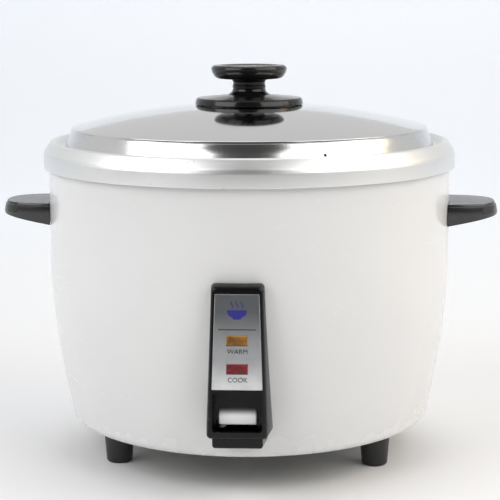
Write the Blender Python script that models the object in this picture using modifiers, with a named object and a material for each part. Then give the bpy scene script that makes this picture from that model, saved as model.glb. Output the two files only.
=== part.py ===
"""Electric rice cooker, modelled as the separate pieces it is assembled from.

The front faces -Y, +Z is up, and the origin lies on the floor under the middle of the drum.
All lengths are metres. Heights named *_Z are measured from the floor.
"""

import math

import bmesh
import bpy
from mathutils import Matrix, Vector

# ---------------------------------------------------------------- driving dimensions
GAP = 0.0003  # clearance between neighbouring pieces
WELD = 0.00001  # vertices closer than this are one vertex
BIG_STEPS = 40  # facets round the drum and everything coaxial with it
MID_STEPS = 32
SMALL_STEPS = 16
TINY_STEPS = 10

# Drum: painted steel, straight above and drawn in below
BODY_LIFT = 0.0255
DRUM_RADIUS = 0.1413
DRUM_HEIGHT = 0.1895
DRUM_WALL = 0.0008
DRUM_DRAW = 0.0142
DRUM_DRAW_HEIGHT = 0.100
DRUM_DRAW_POWER = 1.5
DRUM_CORNER = 0.006
DRUM_LIP = 0.0075

# Base plate and feet
BASE_THICKNESS = 0.0012
VENT_COUNT = 12
VENT_LENGTH = 0.018
VENT_WIDTH = 0.004
VENT_RING = 0.056
FOOT_COUNT = 3
FOOT_INSET = 0.0194  # foot axis inside the drum's bottom corner
FOOT_TOP_RADIUS = 0.0108
FOOT_BOTTOM_RADIUS = 0.0088
FOOT_ROUND = 0.0015
FOOT_SCREW_DEPTH = 0.012

# Liner (the well that the pan sits in)
LINER_WALL = 0.0007
LINER_AIR = 0.0051  # drum outside to liner outside at the top
LINER_DRAW = 0.0062
LINER_DRAW_HEIGHT = 0.060
LINER_CORNER = 0.012
LINER_HOLE = 0.042

# Heating plate, its legs and terminals
PLATE_HEIGHT = 0.0562  # drum's bottom edge to the plate's top
PLATE_THICKNESS = 0.009
PLATE_INSET = 0.033  # plate edge inside the pan's wall
PLATE_LEG = 0.0117
PLATE_LEG_RADIUS = 0.0048
PLATE_TERMINAL_RADIUS = 0.0024
PLATE_TERMINAL_REACH = 0.034
PLATE_TERMINAL_LENGTH = 0.016
POST_INSET = 0.015
POST_RADIUS = 0.0045
POST_SPIGOT_RADIUS = 0.0017
POST_SPIGOT_CLEAR = 0.004

# Pan
PAN_WALL = 0.0010
PAN_AIR = 0.0077  # liner outside to pan outside at the top
PAN_DRAW = 0.003
PAN_CORNER = 0.0145
RIM_OVERHANG = 0.0037
RIM_LEDGE_RISE = 0.0027
RIM_RISE = 0.0070
RIM_DEPTH = 0.0185
RIM_EDGE_HEIGHT = 0.0090

# Lid, knob guard and knob
LID_WALL = 0.0007
LID_DOME_RADIUS = 0.468
LID_INSET = 0.0113  # lid's lower edge inside the drum radius
LID_SKIRT_RUN = 0.0050
LID_SKIRT_HEIGHT = 0.0124
LID_STEAM_HOLE = 0.0011
LID_STEAM_ANGLE = math.radians(25)
GUARD_RADIUS = 0.0382
GUARD_RIM_HEIGHT = 0.0045
GUARD_WALL = 0.0018
GUARD_NECK_RADIUS = 0.0118
GUARD_NECK_HEIGHT = 0.0097
KNOB_RADIUS = 0.0267
KNOB_HEIGHT = 0.0161
KNOB_STEM_HEIGHT = 0.0066
KNOB_BORE_DEPTH = 0.009
KNOB_SCREW_RADIUS = 0.0018

# Side handles
HANDLE_DROP = 0.0365
HANDLE_REACH = 0.0342
HANDLE_HALF_WIDTH = 0.030
HANDLE_ROOT_HEIGHT = 0.0142
HANDLE_TIP_HEIGHT = 0.0080
HANDLE_POWER = 2.6
HANDLE_WALL = 0.0028
HANDLE_ROOT_WALL = 0.0105
HANDLE_CHAMFER = 0.0018
HANDLE_SCREW_SPREAD = 0.017
HANDLE_SCREW_DROP = 0.0065
HANDLE_SCREW_LENGTH = 0.0075

# Front switch housing
HOUSING_TOP = 0.119
HOUSING_BOTTOM = 0.023
HOUSING_DEPTH = 0.0087  # face in front of the drum at the top
HOUSING_LEAN = 0.008  # how much further the face stands out at the bottom
HOUSING_TOP_HALF = 0.01695
HOUSING_BOTTOM_HALF = 0.0196
HOUSING_DRAFT = math.radians(5)
HOUSING_WALL = 0.0022
HOUSING_ROUND = 0.0020
CHIN_BOTTOM = 0.0145
CHIN_HALF = 0.0160
CHIN_SETBACK = 0.0045
PLATE_TOP_MARGIN = 0.0060
FACE_PLATE_LENGTH = 0.0602
FACE_PLATE_TOP_HALF = 0.0140
FACE_PLATE_BOTTOM_HALF = 0.0161
FACE_PLATE_THICKNESS = 0.0006
FACE_PLATE_SET_IN = 0.0007
LENS_WIDTH = 0.0136
LENS_HEIGHT = 0.0063
LENS_DEPTH = 0.0034
LENS_PROUD = 0.0002  # lens face in front of the plate's
LENS_HEIGHTS = {"amber": 0.0840, "red": 0.0662}
LEVER_WINDOW_TOP = 0.0515
LEVER_WINDOW_BOTTOM = 0.0262
LEVER_WINDOW_HALF = 0.0158
LAMP_RADIUS = 0.0024
LAMP_LENGTH = 0.0120
LAMP_AIR = 0.0011  # upper lens to its lamp
LAMP_BOARD_THICKNESS = 0.0012
LAMP_BOARD_WIDTH = 0.018
LAMP_BOARD_MARGIN = 0.0061  # board beyond the lamps' middles
LAMP_SLOT_CLEAR = 0.0010  # drum slot to the board at each side

# Cook lever
LEVER_FRONT = 0.065  # pivot to the paddle's face
LEVER_SWING = math.radians(5.5)
LEVER_PIVOT_RISE = 0.019
LEVER_STRIP = 0.0015
LEVER_WIDTH = 0.012
LEVER_EYE = 0.0048
LEVER_HUB_RADIUS = 0.0045
LEVER_INNER_RISE = 0.0102
PADDLE_HALF_WIDTH = 0.0120
PADDLE_HEIGHT = 0.0105
PADDLE_LIFT = 0.0290
PADDLE_DEPTH = 0.0105
PIN_RADIUS = 0.0018
EAR_GAP = 0.0085
EAR_WALL = 0.0012
EAR_TOP = 0.0065
BRACKET_FRONT = 0.012
BRACKET_BACK = 0.032

# Thermostat and magnet
CAP_RADIUS = 0.0165
CAP_WALL = 0.0012
CAP_HEIGHT = 0.0160
CAP_TRAVEL = 0.0012
CAP_SIDE_AIR = 0.0020
FERRITE_RADIUS = 0.0105
FERRITE_HEIGHT = 0.0050
MAGNET_RADIUS = 0.0100
MAGNET_HEIGHT = 0.0040
STEM_RADIUS = 0.0030
STEM_FLANGE = 0.0010
STEM_COLLAR_RADIUS = 0.0062
STEM_COLLAR = 0.0008
STEM_PLAY = 0.0012
NUT_HEIGHT = 0.0020
HOLDER_WALL = 0.0010
HOLDER_DEPTH = 0.0172
HOLDER_FLANGE = 0.0082
SPRING_WIRE = 0.0005
CAP_SPRING_RADIUS = 0.0140
MAGNET_SPRING_RADIUS = 0.0051
SPRING_TURNS = 4.5
SPRING_POINTS = 12

# Electrics
SWITCH_SIZE = Vector((0.0064, 0.0200, 0.0100))
SWITCH_RISE = 0.0043
PLUNGER_RADIUS = 0.0012
PLUNGER_ARM = 0.015  # plunger behind the lever's pivot
BAND_HEIGHT = 0.025
BAND_DROP = 0.01125  # band's middle below halfway between the drum's draw and the handle screws
BAND_THICKNESS = 0.0020
TERMINAL_SIZE = Vector((0.034, 0.014, 0.011))
WIRE_RADIUS = 0.0011

# Rear inlet
INLET_HALF_WIDTH = 0.0215
INLET_HALF_HEIGHT = 0.0170
INLET_RISE = 0.0360
INLET_SOCKET_SIZE = Vector((0.0290, 0.0160, 0.0210))
INLET_CAVITY = Vector((0.0240, 0.0130, 0.0160))
INLET_PIN = Vector((0.0020, 0.0180, 0.0045))
INLET_PIN_SPREAD = 0.0070
INLET_PIN_SET_IN = 0.003

# ---------------------------------------------------------------- heights and radii that follow
DRUM_TOP_Z = BODY_LIFT + DRUM_HEIGHT
BASE_Z = BODY_LIFT + DRUM_WALL + GAP
BASE_TOP_Z = BASE_Z + BASE_THICKNESS
LEDGE_Z = DRUM_TOP_Z + RIM_LEDGE_RISE
RIM_TOP_Z = DRUM_TOP_Z + RIM_RISE
PLATE_TOP_Z = BODY_LIFT + PLATE_HEIGHT
PLATE_Z = PLATE_TOP_Z - PLATE_THICKNESS
PAN_BASE_Z = PLATE_TOP_Z + GAP
LINER_TOP_FLOOR_Z = PLATE_Z - PLATE_LEG - GAP
LINER_FLOOR_Z = LINER_TOP_FLOOR_Z - LINER_WALL
LINER_RADIUS = DRUM_RADIUS - LINER_AIR
PAN_RADIUS = LINER_RADIUS - PAN_AIR - PAN_WALL
PLATE_RADIUS = PAN_RADIUS - PLATE_INSET
POST_RING = PLATE_RADIUS - POST_INSET
LID_RADIUS = DRUM_RADIUS - LID_INSET
LID_CREASE_RADIUS = LID_RADIUS - LID_SKIRT_RUN
LID_CREASE_Z = LEDGE_Z + GAP + LID_SKIRT_HEIGHT
LID_TOP_Z = LID_CREASE_Z + LID_DOME_RADIUS - math.sqrt(LID_DOME_RADIUS**2 - LID_CREASE_RADIUS**2)
GUARD_TOP_Z = LID_TOP_Z + GUARD_NECK_HEIGHT
KNOB_Z = GUARD_TOP_Z + GAP
KNOB_TOP_Z = KNOB_Z + KNOB_HEIGHT
HANDLE_TOP_Z = DRUM_TOP_Z - HANDLE_DROP
HANDLE_SCREW_Z = HANDLE_TOP_Z - HANDLE_SCREW_DROP
HOUSING_TOP_Z = BODY_LIFT + HOUSING_TOP
HOUSING_BOTTOM_Z = BODY_LIFT + HOUSING_BOTTOM
FACE_TOP_Y = -(DRUM_RADIUS + HOUSING_DEPTH)
FACE_TILT = math.atan2(HOUSING_LEAN, HOUSING_TOP_Z - HOUSING_BOTTOM_Z)
LAMP_MIDDLE_Z = BODY_LIFT + sum(LENS_HEIGHTS.values()) / 2
LAMP_BOARD_LENGTH = max(LENS_HEIGHTS.values()) - min(LENS_HEIGHTS.values()) + 2 * LAMP_BOARD_MARGIN
PADDLE_FACE_Y = FACE_TOP_Y
PIVOT_Y = PADDLE_FACE_Y + LEVER_FRONT
PIVOT_Z = BASE_TOP_Z + LEVER_PIVOT_RISE
ARM_Z = BASE_TOP_Z + LEVER_INNER_RISE
MAGNET_TRAVEL = -PIVOT_Y * LEVER_SWING
FERRITE_Z = PLATE_TOP_Z - CAP_WALL - GAP - FERRITE_HEIGHT
MAGNET_Z = FERRITE_Z - CAP_TRAVEL - GAP - MAGNET_TRAVEL - MAGNET_HEIGHT
HOLDER_TOP_Z = PLATE_Z - GAP
HOLDER_FLOOR_Z = HOLDER_TOP_Z - HOLDER_DEPTH
COLLAR_Z = ARM_Z + LEVER_STRIP / 2 + STEM_PLAY
NUT_TOP_Z = ARM_Z - LEVER_STRIP / 2 - STEM_PLAY
INLET_Z = BODY_LIFT + INLET_RISE
REAR_Y = -FACE_TOP_Y + HOUSING_LEAN
FRONT_ANGLE = -math.pi / 2

X, Y, Z = Vector((1, 0, 0)), Vector((0, 1, 0)), Vector((0, 0, 1))

for old in list(bpy.data.objects):
    bpy.data.objects.remove(old, do_unlink=True)

MODEL = bpy.data.collections.new("rice_cooker")
CUTTERS = bpy.data.collections.new("cutters")
for collection in (MODEL, CUTTERS):
    bpy.context.scene.collection.children.link(collection)


# ---------------------------------------------------------------- materials
def principled(name, colour, roughness, metallic=0.0):
    """A plain Principled material."""
    material = bpy.data.materials.new(name)
    material.use_nodes = True
    shader = material.node_tree.nodes["Principled BSDF"]
    shader.inputs["Base Color"].default_value = (*colour, 1.0)
    shader.inputs["Roughness"].default_value = roughness
    shader.inputs["Metallic"].default_value = metallic
    material.diffuse_color = (*colour, 1.0)
    return material


WHITE_PAINT = principled("white_paint", (0.80, 0.81, 0.83), 0.25)
RIM_ALUMINIUM = principled("rim_aluminium", (0.70, 0.71, 0.73), 0.35, 1.0)
STAINLESS = principled("stainless", (0.62, 0.62, 0.62), 0.15, 1.0)
BLACK_PLASTIC = principled("black_plastic", (0.02, 0.02, 0.022), 0.30)
FACE_METAL = principled("face_metal", (0.45, 0.46, 0.48), 0.35, 1.0)
AMBER = principled("amber_lens", (0.60, 0.32, 0.04), 0.15)
RED = principled("red_lens", (0.45, 0.02, 0.03), 0.15)
PALE_PLASTIC = principled("pale_plastic", (0.78, 0.78, 0.80), 0.25)
BLACK_STEEL = principled("black_steel", (0.05, 0.05, 0.05), 0.50, 1.0)
ZINC_STEEL = principled("zinc_steel", (0.55, 0.55, 0.56), 0.40, 1.0)
CAST_ALUMINIUM = principled("cast_aluminium", (0.60, 0.60, 0.61), 0.45, 1.0)
FERRITE = principled("ferrite", (0.06, 0.06, 0.07), 0.60)
BRASS = principled("brass", (0.70, 0.50, 0.20), 0.35, 1.0)
GLASS = principled("lamp_glass", (0.80, 0.55, 0.45), 0.10)
FIBRE = principled("fibre_sleeve", (0.75, 0.72, 0.62), 0.80)
SILICONE = principled("silicone_wire", (0.55, 0.10, 0.08), 0.50)


# ---------------------------------------------------------------- building blocks
def place(name, mesh, material, location=(0, 0, 0), direction=Z, cutter=False):
    """Puts a mesh in the model (or among the cutters), its local +Z turned to direction."""
    obj = bpy.data.objects.new(name, mesh)
    obj.location = location
    obj.rotation_euler = Z.rotation_difference(Vector(direction)).to_euler()
    if cutter:
        CUTTERS.objects.link(obj)
        obj.hide_render = True
        obj.display_type = "WIRE"
    else:
        MODEL.objects.link(obj)
        mesh.materials.append(material)
    return obj


def turned(name, profile, material, steps, location=(0, 0, 0), direction=Z, wall=0.0, closed=False,
           cutter=False):
    """A turned shape: (radius, height) points, the outer side listed from top to bottom."""
    mesh = bpy.data.meshes.new(name)
    shape = bmesh.new()
    points = [shape.verts.new((radius, 0, height)) for radius, height in profile]
    for first, second in zip(points, points[1:]):
        shape.edges.new((first, second))
    if closed:
        shape.edges.new((points[-1], points[0]))
    shape.to_mesh(mesh)
    shape.free()
    obj = place(name, mesh, material, location, direction, cutter)
    screw = obj.modifiers.new("turn", "SCREW")
    screw.steps = steps
    screw.render_steps = steps
    screw.use_merge_vertices = True
    screw.merge_threshold = WELD
    screw.use_smooth_shade = True
    if wall:
        shell = obj.modifiers.new("wall", "SOLIDIFY")
        shell.thickness = wall
        shell.offset = -1
        shell.use_even_offset = True
    return obj


def cylinder(name, radius, start, end, material, steps=SMALL_STEPS, cutter=False):
    """A round bar from start to end."""
    start, end = Vector(start), Vector(end)
    mesh = bpy.data.meshes.new(name)
    shape = bmesh.new()
    bmesh.ops.create_cone(shape, cap_ends=True, segments=steps, radius1=radius, radius2=radius,
                          depth=(end - start).length)
    shape.to_mesh(mesh)
    shape.free()
    mesh.shade_smooth()
    mesh.set_sharp_from_angle(angle=math.radians(40))
    return place(name, mesh, material, (start + end) / 2, end - start, cutter)


def box(name, size, centre, material, rounding=0.0, cutter=False, tilt=0.0):
    """A box of the given size, tilted about X and with rounded edges if asked."""
    mesh = bpy.data.meshes.new(name)
    shape = bmesh.new()
    bmesh.ops.create_cube(shape, size=1.0)
    bmesh.ops.scale(shape, vec=Vector(size), verts=shape.verts)
    shape.to_mesh(mesh)
    shape.free()
    obj = place(name, mesh, material, centre, Z, cutter)
    obj.rotation_euler = (tilt, 0, 0)
    if rounding:
        round_edges(obj, rounding)
    return obj


def round_edges(obj, width, segments=2, angle=math.radians(35)):
    """Rounds the edges that are sharper than the angle."""
    bevel = obj.modifiers.new("round", "BEVEL")
    bevel.width = width
    bevel.segments = segments
    bevel.limit_method = "ANGLE"
    bevel.angle_limit = angle
    return bevel


def from_curve(curve, name, material, location, rotation, cutter):
    """Turns a curve into a closed mesh object and removes the curve."""
    guide = bpy.data.objects.new(name + "_guide", curve)
    MODEL.objects.link(guide)
    bpy.context.view_layer.update()
    mesh = bpy.data.meshes.new_from_object(guide.evaluated_get(bpy.context.evaluated_depsgraph_get()))
    bpy.data.objects.remove(guide, do_unlink=True)
    bpy.data.curves.remove(curve)
    shape = bmesh.new()
    shape.from_mesh(mesh)
    bmesh.ops.remove_doubles(shape, verts=shape.verts, dist=WELD)
    bmesh.ops.recalc_face_normals(shape, faces=shape.faces)
    shape.to_mesh(mesh)
    shape.free()
    mesh.materials.clear()
    obj = place(name, mesh, material, location, Z, cutter)
    obj.rotation_euler = rotation
    return obj


def sheet(name, outlines, thickness, material, location=(0, 0, 0), rotation=(0, 0, 0), cutter=False):
    """A flat piece: outlines in its local XY plane (the first may have holes), extruded both ways."""
    curve = bpy.data.curves.new(name, "CURVE")
    curve.dimensions = "2D"
    curve.fill_mode = "BOTH"
    curve.extrude = thickness / 2
    for outline in outlines:
        spline = curve.splines.new("POLY")
        spline.points.add(len(outline) - 1)
        for point, (across, along) in zip(spline.points, outline):
            point.co = (across, along, 0, 1)
        spline.use_cyclic_u = True
    return from_curve(curve, name, material, location, rotation, cutter)


def tube(name, points, radius, material):
    """A round wire along the points, with closed ends."""
    curve = bpy.data.curves.new(name, "CURVE")
    curve.dimensions = "3D"
    curve.bevel_depth = radius
    curve.bevel_resolution = 1
    curve.use_fill_caps = True
    spline = curve.splines.new("POLY")
    spline.points.add(len(points) - 1)
    for point, place_ in zip(spline.points, points):
        point.co = (*place_, 1)
    obj = from_curve(curve, name, material, (0, 0, 0), (0, 0, 0), False)
    obj.data.shade_smooth()
    return obj


def circle(radius, steps, centre=(0, 0)):
    """Points round a circle."""
    turns = [2 * math.pi * step / steps for step in range(steps)]
    return [(centre[0] + radius * math.cos(turn), centre[1] + radius * math.sin(turn)) for turn in turns]


def strip_outline(points, thickness):
    """The outline of a strip of even thickness bent along the points."""
    points = [Vector(point) for point in points]
    runs = [(second - first).normalized() for first, second in zip(points, points[1:])]
    left, right = [], []
    for index, point in enumerate(points):
        before = runs[max(index - 1, 0)]
        after = runs[min(index, len(runs) - 1)]
        middle = (before + after).normalized()
        normal = Vector((-middle.y, middle.x))
        reach = thickness / 2 / max(middle.dot(before), 0.3)
        left.append(point + normal * reach)
        right.append(point - normal * reach)
    return [tuple(point) for point in left + right[::-1]]


def polar(radius, angle, height):
    """A point at a radius and angle about the vertical axis."""
    return Vector((radius * math.cos(angle), radius * math.sin(angle), height))


def combine(target, other, operation):
    """Adds a Boolean of another object to the target."""
    boolean = target.modifiers.new(other.name, "BOOLEAN")
    boolean.operation = operation
    boolean.object = other
    boolean.solver = "EXACT"


def cut(target, *cutters):
    """Cuts every cutter out of the target."""
    for cutter in cutters:
        combine(target, cutter, "DIFFERENCE")


def join(target, *extras):
    """Fuses extra shapes, kept among the cutters, to the target."""
    for extra in extras:
        combine(target, extra, "UNION")


def screw(name, seat, direction, shank_radius, shank, head_radius, head, material=ZINC_STEEL):
    """A pan-head screw: its head ends at the seat and its shank runs on in the direction."""
    profile = [(0, shank), (shank_radius * 0.7, shank), (shank_radius, shank - shank_radius * 0.6),
               (shank_radius, 0), (head_radius, 0), (head_radius, -head * 0.5),
               (head_radius * 0.7, -head), (0, -head)]
    return turned(name, profile, material, TINY_STEPS, seat, direction)


def hinge_empty(name, location):
    """An empty on a joint's axis, which carries the pieces that move with it."""
    empty = bpy.data.objects.new(name, None)
    empty.empty_display_size = 0.01
    empty.location = location
    MODEL.objects.link(empty)
    return empty


def carry(empty, *children):
    """Parents the pieces to the empty without moving them."""
    for child in children:
        child.parent = empty
        child.matrix_parent_inverse = Matrix.Translation(empty.location).inverted()


# ---------------------------------------------------------------- drum
def drum_radius(height):
    """Outside radius of the drum at a height above the floor."""
    share = min(max((height - BODY_LIFT) / DRUM_DRAW_HEIGHT, 0.0), 1.0)
    return DRUM_RADIUS - DRUM_DRAW * (1 - share) ** DRUM_DRAW_POWER


CORNER_CENTRE = drum_radius(BODY_LIFT + DRUM_CORNER) - DRUM_CORNER
LIP_RADIUS = CORNER_CENTRE - DRUM_LIP


def drum_profile(spread=0.0):
    """The drum's outside from top to bottom, set out by the spread."""
    profile = [(DRUM_RADIUS + spread, DRUM_TOP_Z)]
    for share in (1.0, 0.8, 0.6, 0.4, 0.2):
        height = BODY_LIFT + DRUM_DRAW_HEIGHT * share
        profile.append((drum_radius(height) + spread, height))
    for degrees in (0, 35, 65, 90):
        turn = math.radians(degrees)
        profile.append((CORNER_CENTRE + spread + DRUM_CORNER * math.cos(turn),
                        BODY_LIFT + DRUM_CORNER * (1 - math.sin(turn))))
    return profile


def make_drum_cutter():
    """The drum's space, which the pieces screwed to its outside are cut back from."""
    outline = [(0, DRUM_TOP_Z), *drum_profile(GAP), (0, BODY_LIFT)]
    return turned("drum_space", outline, None, BIG_STEPS, cutter=True)


def make_drum():
    """The painted outer shell with its openings for the lever, lamps, inlet and handle screws."""
    profile = [*drum_profile(), (LIP_RADIUS, BODY_LIFT)]
    shell = turned("outer_shell", profile, WHITE_PAINT, BIG_STEPS, wall=DRUM_WALL)
    depth = DRUM_RADIUS * 0.3
    lever_slot = box("lever_slot", (LEVER_WINDOW_HALF * 1.7, depth, 0.022),
                     (0, -DRUM_RADIUS, PIVOT_Z + 0.0065), None, cutter=True)
    lamp_slot = box("lamp_slot", (LAMP_BOARD_WIDTH + 2 * LAMP_SLOT_CLEAR, depth,
                                  LAMP_BOARD_LENGTH + 2 * LAMP_SLOT_CLEAR),
                    (0, -DRUM_RADIUS, LAMP_MIDDLE_Z), None, cutter=True)
    inlet_slot = box("inlet_slot", (INLET_SOCKET_SIZE.x - 0.005, depth, INLET_SOCKET_SIZE.z - 0.005),
                     (0, DRUM_RADIUS, INLET_Z), None, cutter=True)
    cut(shell, lever_slot, lamp_slot, inlet_slot)
    for side in (-1, 1):
        for spread in (-HANDLE_SCREW_SPREAD, HANDLE_SCREW_SPREAD):
            start, end = ((side * DRUM_RADIUS * reach, spread, HANDLE_SCREW_Z) for reach in (0.9, 1.1))
            hole = cylinder("handle_hole", KNOB_SCREW_RADIUS + GAP, start, end, None, TINY_STEPS, cutter=True)
            cut(shell, hole)
    return shell


# ---------------------------------------------------------------- base, feet, posts
def foot_angles():
    """Two feet towards the front and one at the back."""
    return [math.pi / 2 + 2 * math.pi * index / FOOT_COUNT for index in range(FOOT_COUNT)]


def make_base():
    """The base plate, the feet, the liner posts and the screws that hold them."""
    foot_ring = CORNER_CENTRE - FOOT_INSET
    radius = CORNER_CENTRE - GAP
    holes = [circle(0.0021, 8, polar(foot_ring, angle, 0).xy) for angle in foot_angles()]
    holes += [circle(0.0021, 8, polar(POST_RING, angle, 0).xy) for angle in foot_angles()]
    holes += [circle(0.0018, 8, (0, PIVOT_Y + offset)) for offset in (-0.008, BRACKET_BACK - 0.005)]
    for index in range(VENT_COUNT):
        angle = 2 * math.pi * (index + 0.5) / VENT_COUNT
        along = polar(1, angle, 0).xy * VENT_LENGTH / 2
        across = polar(1, angle + math.pi / 2, 0).xy * VENT_WIDTH / 2
        middle = polar(VENT_RING, angle, 0).xy
        corners = ((-1, -1), (1, -1), (1, 1), (-1, 1))
        holes.append([tuple(middle + along * far + across * side) for far, side in corners])
    sheet("base_plate", [circle(radius, BIG_STEPS), *holes], BASE_THICKNESS, BLACK_STEEL,
          (0, 0, BASE_Z + BASE_THICKNESS / 2))
    for index, angle in enumerate(foot_angles(), 1):
        centre = polar(foot_ring, angle, 0)
        profile = [(0.0023, BASE_Z - GAP), (FOOT_TOP_RADIUS, BASE_Z - GAP),
                   (FOOT_BOTTOM_RADIUS, FOOT_ROUND), (FOOT_BOTTOM_RADIUS - FOOT_ROUND, 0),
                   (0.0050, 0), (0.0050, FOOT_SCREW_DEPTH), (0.0023, FOOT_SCREW_DEPTH)]
        turned(f"foot_{index}", profile, BLACK_PLASTIC, MID_STEPS - 8, centre, closed=True)
        screw(f"foot_screw_{index}", centre + Z * (FOOT_SCREW_DEPTH - GAP), Z, 0.0018,
              BASE_TOP_Z + 0.005 - FOOT_SCREW_DEPTH, 0.0040, 0.0024)
        middle = polar(POST_RING, angle, 0)
        post = [(0, PLATE_Z - POST_SPIGOT_CLEAR), (POST_SPIGOT_RADIUS, PLATE_Z - POST_SPIGOT_CLEAR),
                (POST_SPIGOT_RADIUS, LINER_FLOOR_Z - GAP), (POST_RADIUS, LINER_FLOOR_Z - GAP),
                (POST_RADIUS, BASE_TOP_Z + GAP), (POST_SPIGOT_RADIUS, BASE_TOP_Z + GAP),
                (POST_SPIGOT_RADIUS, BASE_Z - 0.001), (0, BASE_Z - 0.001)]
        turned(f"liner_post_{index}", post, ZINC_STEEL, SMALL_STEPS, middle)


# ---------------------------------------------------------------- liner and heating plate
def liner_radius(height):
    """Outside radius of the liner's wall at a height."""
    share = min(max((height - LINER_FLOOR_Z) / LINER_DRAW_HEIGHT, 0.0), 1.0)
    return LINER_RADIUS - LINER_DRAW * (1 - share)


def make_liner():
    """The well: a flanged cup that hangs on the drum's top edge, with a hole for the thermostat."""
    flange_z = DRUM_TOP_Z + GAP
    corner_z = LINER_FLOOR_Z + LINER_CORNER
    corner_r = liner_radius(corner_z)
    profile = [(DRUM_RADIUS, flange_z), (LINER_RADIUS, flange_z),
               (LINER_RADIUS, LINER_FLOOR_Z + LINER_DRAW_HEIGHT), (corner_r, corner_z),
               (corner_r - LINER_CORNER * 0.3, LINER_FLOOR_Z + LINER_CORNER * 0.3),
               (corner_r - LINER_CORNER, LINER_FLOOR_Z), (LINER_HOLE, LINER_FLOOR_Z)]
    liner = turned("inner_liner", profile, ZINC_STEEL, BIG_STEPS, wall=LINER_WALL)
    for angle in foot_angles():
        centre = polar(POST_RING, angle, LINER_FLOOR_Z)
        cut(liner, cylinder("liner_hole", 0.0021, centre - Z * 0.005, centre + Z * 0.005, None,
                            TINY_STEPS, cutter=True))
    return liner


def make_heating_plate():
    """The cast plate with the element's hump, three hollow legs and two terminals."""
    hole = CAP_RADIUS + CAP_SIDE_AIR
    hump_in, hump_out = PLATE_RADIUS * 0.62, PLATE_RADIUS * 0.78
    profile = [(hole, PLATE_TOP_Z), (PLATE_RADIUS - 0.0015, PLATE_TOP_Z),
               (PLATE_RADIUS, PLATE_TOP_Z - 0.0015),
               (PLATE_RADIUS, PLATE_Z + 0.002), (hump_out, PLATE_Z + 0.002), (hump_out - 0.002, PLATE_Z),
               (hump_in + 0.002, PLATE_Z), (hump_in, PLATE_Z + 0.002), (hole + 0.016, PLATE_Z + 0.002),
               (hole + 0.015, PLATE_Z), (hole, PLATE_Z)]
    plate = turned("heating_plate", profile, CAST_ALUMINIUM, BIG_STEPS, closed=True)
    for angle in foot_angles():
        top = polar(POST_RING, angle, PLATE_Z + 0.004)
        leg = cylinder("plate_leg", PLATE_LEG_RADIUS, top, polar(POST_RING, angle, PLATE_Z - PLATE_LEG), None,
                       SMALL_STEPS, cutter=True)
        join(plate, leg)
    for side in (-1, 1):
        top = Vector((side * PLATE_TERMINAL_REACH * 0.35, PLATE_TERMINAL_REACH, PLATE_Z + 0.004))
        pin = cylinder("plate_terminal", PLATE_TERMINAL_RADIUS, top, top - Z * PLATE_TERMINAL_LENGTH, None,
                       TINY_STEPS, cutter=True)
        join(plate, pin)
    for angle in foot_angles():
        bottom = polar(POST_RING, angle, PLATE_Z - PLATE_LEG - 0.002)
        cut(plate, cylinder("leg_bore", 0.0021, bottom, polar(POST_RING, angle, PLATE_Z - 0.0015), None,
                            TINY_STEPS, cutter=True))
    for side in (-1, 1):
        bottom = Vector((side * (hole + HOLDER_FLANGE / 2 + 0.0012), 0, PLATE_Z - 0.002))
        cut(plate, cylinder("holder_bore", 0.0014, bottom, bottom + Z * 0.0065, None, 8, cutter=True))
    return plate


# ---------------------------------------------------------------- pan
def make_pan():
    """The pan: flat floor, tall wall, a ledge for the lid and a wide rim hooded over the drum."""
    rim = DRUM_RADIUS + RIM_OVERHANG
    floor = PAN_BASE_Z + PAN_WALL
    low_wall = PAN_RADIUS - PAN_DRAW
    profile = [(0, floor), (low_wall - PAN_CORNER, floor)]
    for degrees in (35, 65, 90):
        turn = math.radians(degrees)
        profile.append((low_wall - PAN_CORNER + PAN_CORNER * math.sin(turn),
                        floor + PAN_CORNER * (1 - math.cos(turn))))
    profile += [(PAN_RADIUS, LEDGE_Z - 0.0015), (PAN_RADIUS + 0.0010, LEDGE_Z),
                (DRUM_RADIUS - 0.0075, LEDGE_Z), (DRUM_RADIUS - 0.0064, RIM_TOP_Z - 0.0025),
                (DRUM_RADIUS - 0.0041, RIM_TOP_Z), (DRUM_RADIUS - 0.0017, RIM_TOP_Z - 0.0007),
                (rim - 0.0009, RIM_TOP_Z - 0.0070), (rim, RIM_TOP_Z - RIM_DEPTH + RIM_EDGE_HEIGHT),
                (rim, RIM_TOP_Z - RIM_DEPTH)]
    return turned("inner_pan", profile, RIM_ALUMINIUM, BIG_STEPS, wall=PAN_WALL)


# ---------------------------------------------------------------- lid
def dome_z(radius):
    """Height of the lid's dome at a radius."""
    return LID_TOP_Z - LID_DOME_RADIUS + math.sqrt(LID_DOME_RADIUS**2 - radius**2)


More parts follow.
